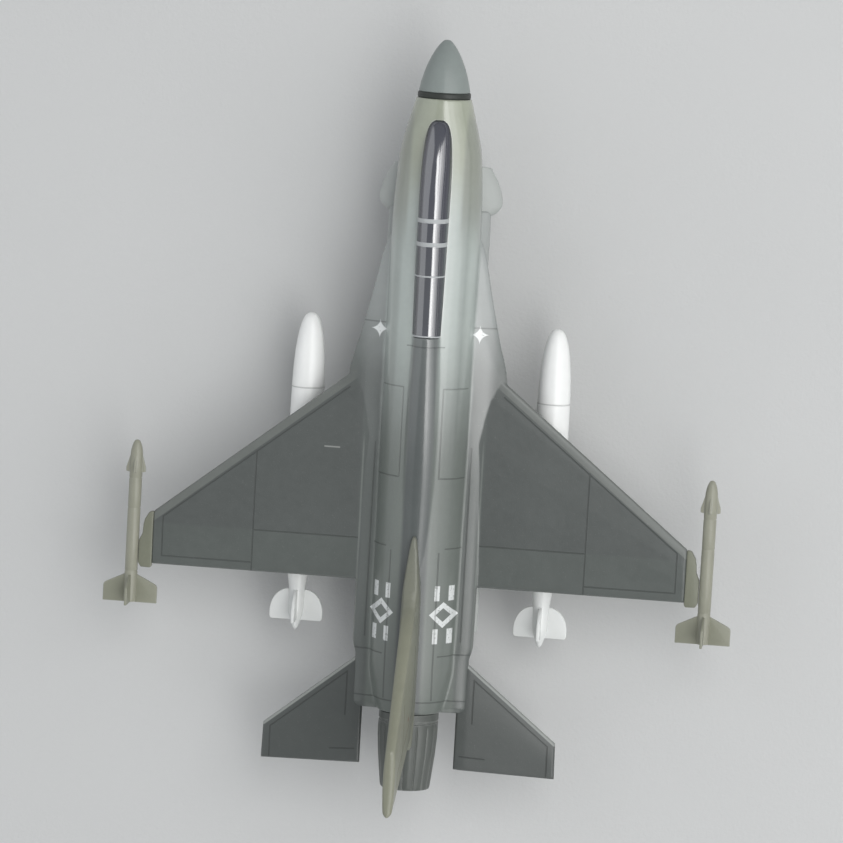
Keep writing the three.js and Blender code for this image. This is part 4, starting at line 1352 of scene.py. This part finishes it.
def nose_fork():
    aft = NOSE_AXLE_STATION
    prong = [(aft - 0.6, 4.7), (aft + 0.6, 4.7),
             *arc(aft, NOSE_WHEEL[2], 0.76, range(10, -191, -20))]
    brace = [(aft + 0.2, 5.3), (aft + 0.6, 5.3), (aft + 2.1, 6.5), (aft + 1.7, 6.6)]
    parts = []
    for side in (-1, 1):
        x0, x1 = sorted((side * (NOSE_HALF + 0.12), side * FORK_OUTER))
        parts.append(bevel(side_prism(prong, x0, x1), 0.08, 2))
    crown = box((-FORK_OUTER, FORK_OUTER), (aft - 0.72, aft + 0.72), (4.42, 5.15))
    strut = rod("z", 0.72, 3.2, (0, NOSE_Y - aft, 6.5), 36)
    collar = rod("z", 0.95, 0.35, (0, NOSE_Y - aft, 5.32), 36)
    plug = box((-0.98, 0.98), (aft - 1.28, aft + 1.28), (5.78, 7.9))
    return merge(parts + [
        bevel(crown, 0.15, 3), bevel(strut, 0.05, 2), bevel(collar, 0.08, 2),
        bevel(side_prism(brace, -0.18, 0.18), 0.06, 2), bevel(plug, 0.1, 2)])


def main_leg_plate(side, tag):
    lo, hi = box_mm(f"{tag}_main_leg")
    aft = MAIN_AXLE_STATION
    plate = [(aft - 1.7, 9.5), (aft + 1.7, 9.5), (aft + 1.7, 7.0), (aft + 0.95, 3.2),
             *arc(aft, MAIN_WHEEL[2], 0.95, range(0, -181, -15)),
             (aft - 0.95, 3.2), (aft - 1.7, 7.0)]
    rib = [(aft - 0.22, 8.6), (aft + 0.22, 8.6), (aft + 0.22, 3.6), (aft - 0.22, 3.6)]
    inner_x = lo[0] if side > 0 else hi[0]
    boss = rod("x", 0.8, 0.5, (inner_x, MAIN_WHEEL[1], MAIN_WHEEL[2]))
    return merge([bevel(side_prism(plate, lo[0], hi[0]), 0.12, 3),
                  bevel(side_prism(rib, inner_x - 0.22, inner_x + 0.22), 0.08, 2),
                  bevel(boss, 0.08, 2)])


done(nose_fork(), "nose_gear_fork", "light", ["nose_leg"], sharp=40)
for side, tag in SIDES:
    done(main_leg_plate(side, tag), f"{tag}_gear_leg", "light",
         [f"{tag}_main_leg"], sharp=40)

# ------------------------------------------------------------------ wheels
HUB_BORE = 0.53
HUB_HOLES = 5
AXLE_TURN = Matrix.Rotation(-math.pi / 2, 4, "Z")  # lathe axis onto +X


def mirrored(profile):
    return [(radius, -y) for radius, y in reversed(profile)]


def tyre_profile(radius, width, bore):
    """Sidewall, tread with three grooves, other sidewall."""
    half = width / 2
    wall = [(bore, -half * 0.80), (bore + 0.1, -half * 0.86), (radius * 0.74, -half * 0.97),
            (radius * 0.82, -half), (radius * 0.90, -half * 0.95), (radius * 0.96, -half * 0.82),
            (radius * 0.992, -half * 0.62)]
    tread = []
    for centre in (-0.42, 0.0, 0.42):
        tread += [(radius, (centre - 0.10) * half), (radius - 0.11, (centre - 0.06) * half),
                  (radius - 0.11, (centre + 0.06) * half), (radius, (centre + 0.10) * half)]
    return wall + tread + mirrored(wall) + wall[:1]


def hub_profile(width, rim):
    half = width / 2
    face = [(HUB_BORE, -half), (HUB_BORE + 0.22, -half), (HUB_BORE + 0.3, -half * 0.92),
            (HUB_BORE + 0.36, -half * 0.5), (rim - 0.42, -half * 0.45),
            (rim - 0.25, -half * 0.55), (rim - 0.14, -half * 0.84), (rim - 0.02, -half * 0.84)]
    return face + mirrored(face) + face[:1]


def add_wheel(wheel, width):
    lo, hi = box_mm(f"{wheel}_hub")
    rim = (hi[2] - lo[2]) / 2
    centre = JOINT[wheel]
    place = Matrix.Translation(centre) @ AXLE_TURN
    # the wheel stands on the floor, so its radius is the height of its centre
    tyre = transform(lathe(tyre_profile(centre[2], width, rim - 0.02), 96), place)
    done(tyre, f"{wheel}_tread", "tyre", [f"{wheel}_tyre"], sharp=45, body=wheel)
    hub = lathe(hub_profile(width, rim), 72)
    hole_ring = (HUB_BORE + 0.36 + rim - 0.42) / 2
    for k in range(HUB_HOLES):
        angle = 2 * math.pi * k / HUB_HOLES
        hole = (hole_ring * math.sin(angle), 0, hole_ring * math.cos(angle))
        cut(hub, rod("y", 0.13, width * 1.2, hole, 20), "EXACT")
    transform(hub, place)
    done(hub, f"{wheel}_rim", "hub", [f"{wheel}_hub"], sharp=35, body=wheel)


add_wheel("nose_wheel", NOSE_TYRE_WIDTH)
add_wheel("right_main_wheel", MAIN_TYRE_WIDTH)
add_wheel("left_main_wheel", MAIN_TYRE_WIDTH)

# ------------------------------------------------------------------ axle pins and screws
pin_end = [(0, -NOSE_HALF - 0.75), (0.3, -NOSE_HALF - 0.75), (0.42, -NOSE_HALF - 0.68),
           (0.45, -NOSE_HALF - 0.6)]
pin = lathe(pin_end + mirrored(pin_end), 40)
transform(pin, Matrix.Translation(NOSE_WHEEL) @ AXLE_TURN)
done(pin, "nose_axle_pin", "steel", ["nose_axle"])
for side, tag in SIDES:
    lo, hi = box_mm(f"{tag}_main_axle")
    inner, outer = sorted((abs(lo[0]), abs(hi[0])))
    pin = lathe([(0, inner), (0.4, inner), (0.45, inner + 0.06), (0.45, outer - 0.35),
                 (0.8, outer - 0.35), (0.86, outer - 0.3), (0.84, outer - 0.18),
                 (0.68, outer - 0.07), (0.4, outer - 0.01), (0, outer)], 48)
    transform(pin, Matrix.Translation((0, MAIN_WHEEL[1], MAIN_WHEEL[2]))
              @ Matrix.Rotation(-side * math.pi / 2, 4, "Z"))
    done(pin, f"{tag}_axle_pin", "steel", [f"{tag}_main_axle"])

# the screws of the frame stay, with rounded edges
for name in ("front_screw", "rear_screw"):
    screw = frame["nodes"][name]
    screw.data.materials.clear()
    screw.data.materials.append(FINISH["steel"])
    rounding = screw.modifiers.new("edge", "BEVEL")
    rounding.width = 0.06 * MM
    rounding.segments = 2
    rounding.limit_method = "ANGLE"
    rounding.angle_limit = math.radians(35)

# ------------------------------------------------------------------ floor and light (metres)
FLOOR_HALF = 3
floor_mesh = bpy.data.meshes.new("floor")
floor_mesh.from_pydata([(-FLOOR_HALF, -FLOOR_HALF, 0), (FLOOR_HALF, -FLOOR_HALF, 0),
                        (FLOOR_HALF, FLOOR_HALF, 0), (-FLOOR_HALF, FLOOR_HALF, 0)],
                       [], [(0, 1, 2, 3)])
floor = link(bpy.data.objects.new("floor", floor_mesh))
floor_mesh.materials.append(floor_material())

scene = bpy.context.scene
world = bpy.data.worlds.new("studio")
scene.world = world
world.use_nodes = True
background = world.node_tree.nodes["Background"]
background.inputs["Color"].default_value = (0.92, 0.95, 1.0, 1)
background.inputs["Strength"].default_value = 0.30


def lamp(name, at, size, power, colour=(1, 1, 1), size_y=None):
    """Area light aimed at the toy."""
    light = bpy.data.lights.new(name, "AREA")
    light.energy, light.color, light.size = power, colour, size
    if size_y:
        light.shape, light.size_y = "RECTANGLE", size_y
    ob = link(bpy.data.objects.new(name, light))
    ob.location = at
    ob.rotation_mode = "QUATERNION"
    ob.rotation_quaternion = (Vector((0, 0, 0.01)) - Vector(at)).to_track_quat("-Z", "Y")


# four long softboxes in an arc from overhead down to the right: (elevation in degrees, power)
SOFTBOX_DISTANCE = 0.67
for i, (degrees, power) in enumerate([(72, 1.7), (54, 1.1), (36, 0.6), (18, 0.35)]):
    elevation = math.radians(degrees)
    lamp(f"softbox_{i}",
         at=(SOFTBOX_DISTANCE * math.cos(elevation), 0.05, SOFTBOX_DISTANCE * math.sin(elevation)),
         size=0.85, size_y=0.21, power=power, colour=(1.0, 0.998, 0.99))
# a wide dim card on the left, and a small light behind the tail
lamp("fill", at=(-0.75, 0.15, 0.45), size=1.3, power=2.4, colour=(0.97, 0.99, 1.0))
lamp("rim", at=(0.05, -0.60, 0.35), size=0.4, power=0.5)

# ------------------------------------------------------------------ camera (metres)
CAMERA_DISTANCE = 0.60
VIEW_HALF_WIDTH = 0.0505  # half the width seen at the aim point
CAMERA_AIM = Vector((-0.0005, -0.0005, 0.012))
CAMERA_ROLL = math.radians(3.3)
SENSOR_WIDTH = 36

camera_data = bpy.data.cameras.new("camera")
camera_data.sensor_width = SENSOR_WIDTH
camera_data.lens = SENSOR_WIDTH / 2 * CAMERA_DISTANCE / VIEW_HALF_WIDTH
camera_data.clip_start, camera_data.clip_end = 0.01, 10
camera = link(bpy.data.objects.new("camera", camera_data))
scene.camera = camera
# looks down from above, the nose pointing up the picture and turned a little clockwise
away = Vector((0.105, 0.130, 1.0)).normalized()
nose = Vector((0, 1, 0))
level_up = (nose - away * nose.dot(away)).normalized()
level_right = level_up.cross(away)
up = (level_up * math.cos(CAMERA_ROLL) - level_right * math.sin(CAMERA_ROLL)).normalized()
turn = Matrix((up.cross(away), up, away)).transposed().to_4x4()
camera.matrix_world = Matrix.Translation(CAMERA_AIM + away * CAMERA_DISTANCE) @ turn

scene.view_settings.view_transform = "Standard"
scene.view_settings.look = "None"
scene.view_settings.exposure = 0.0
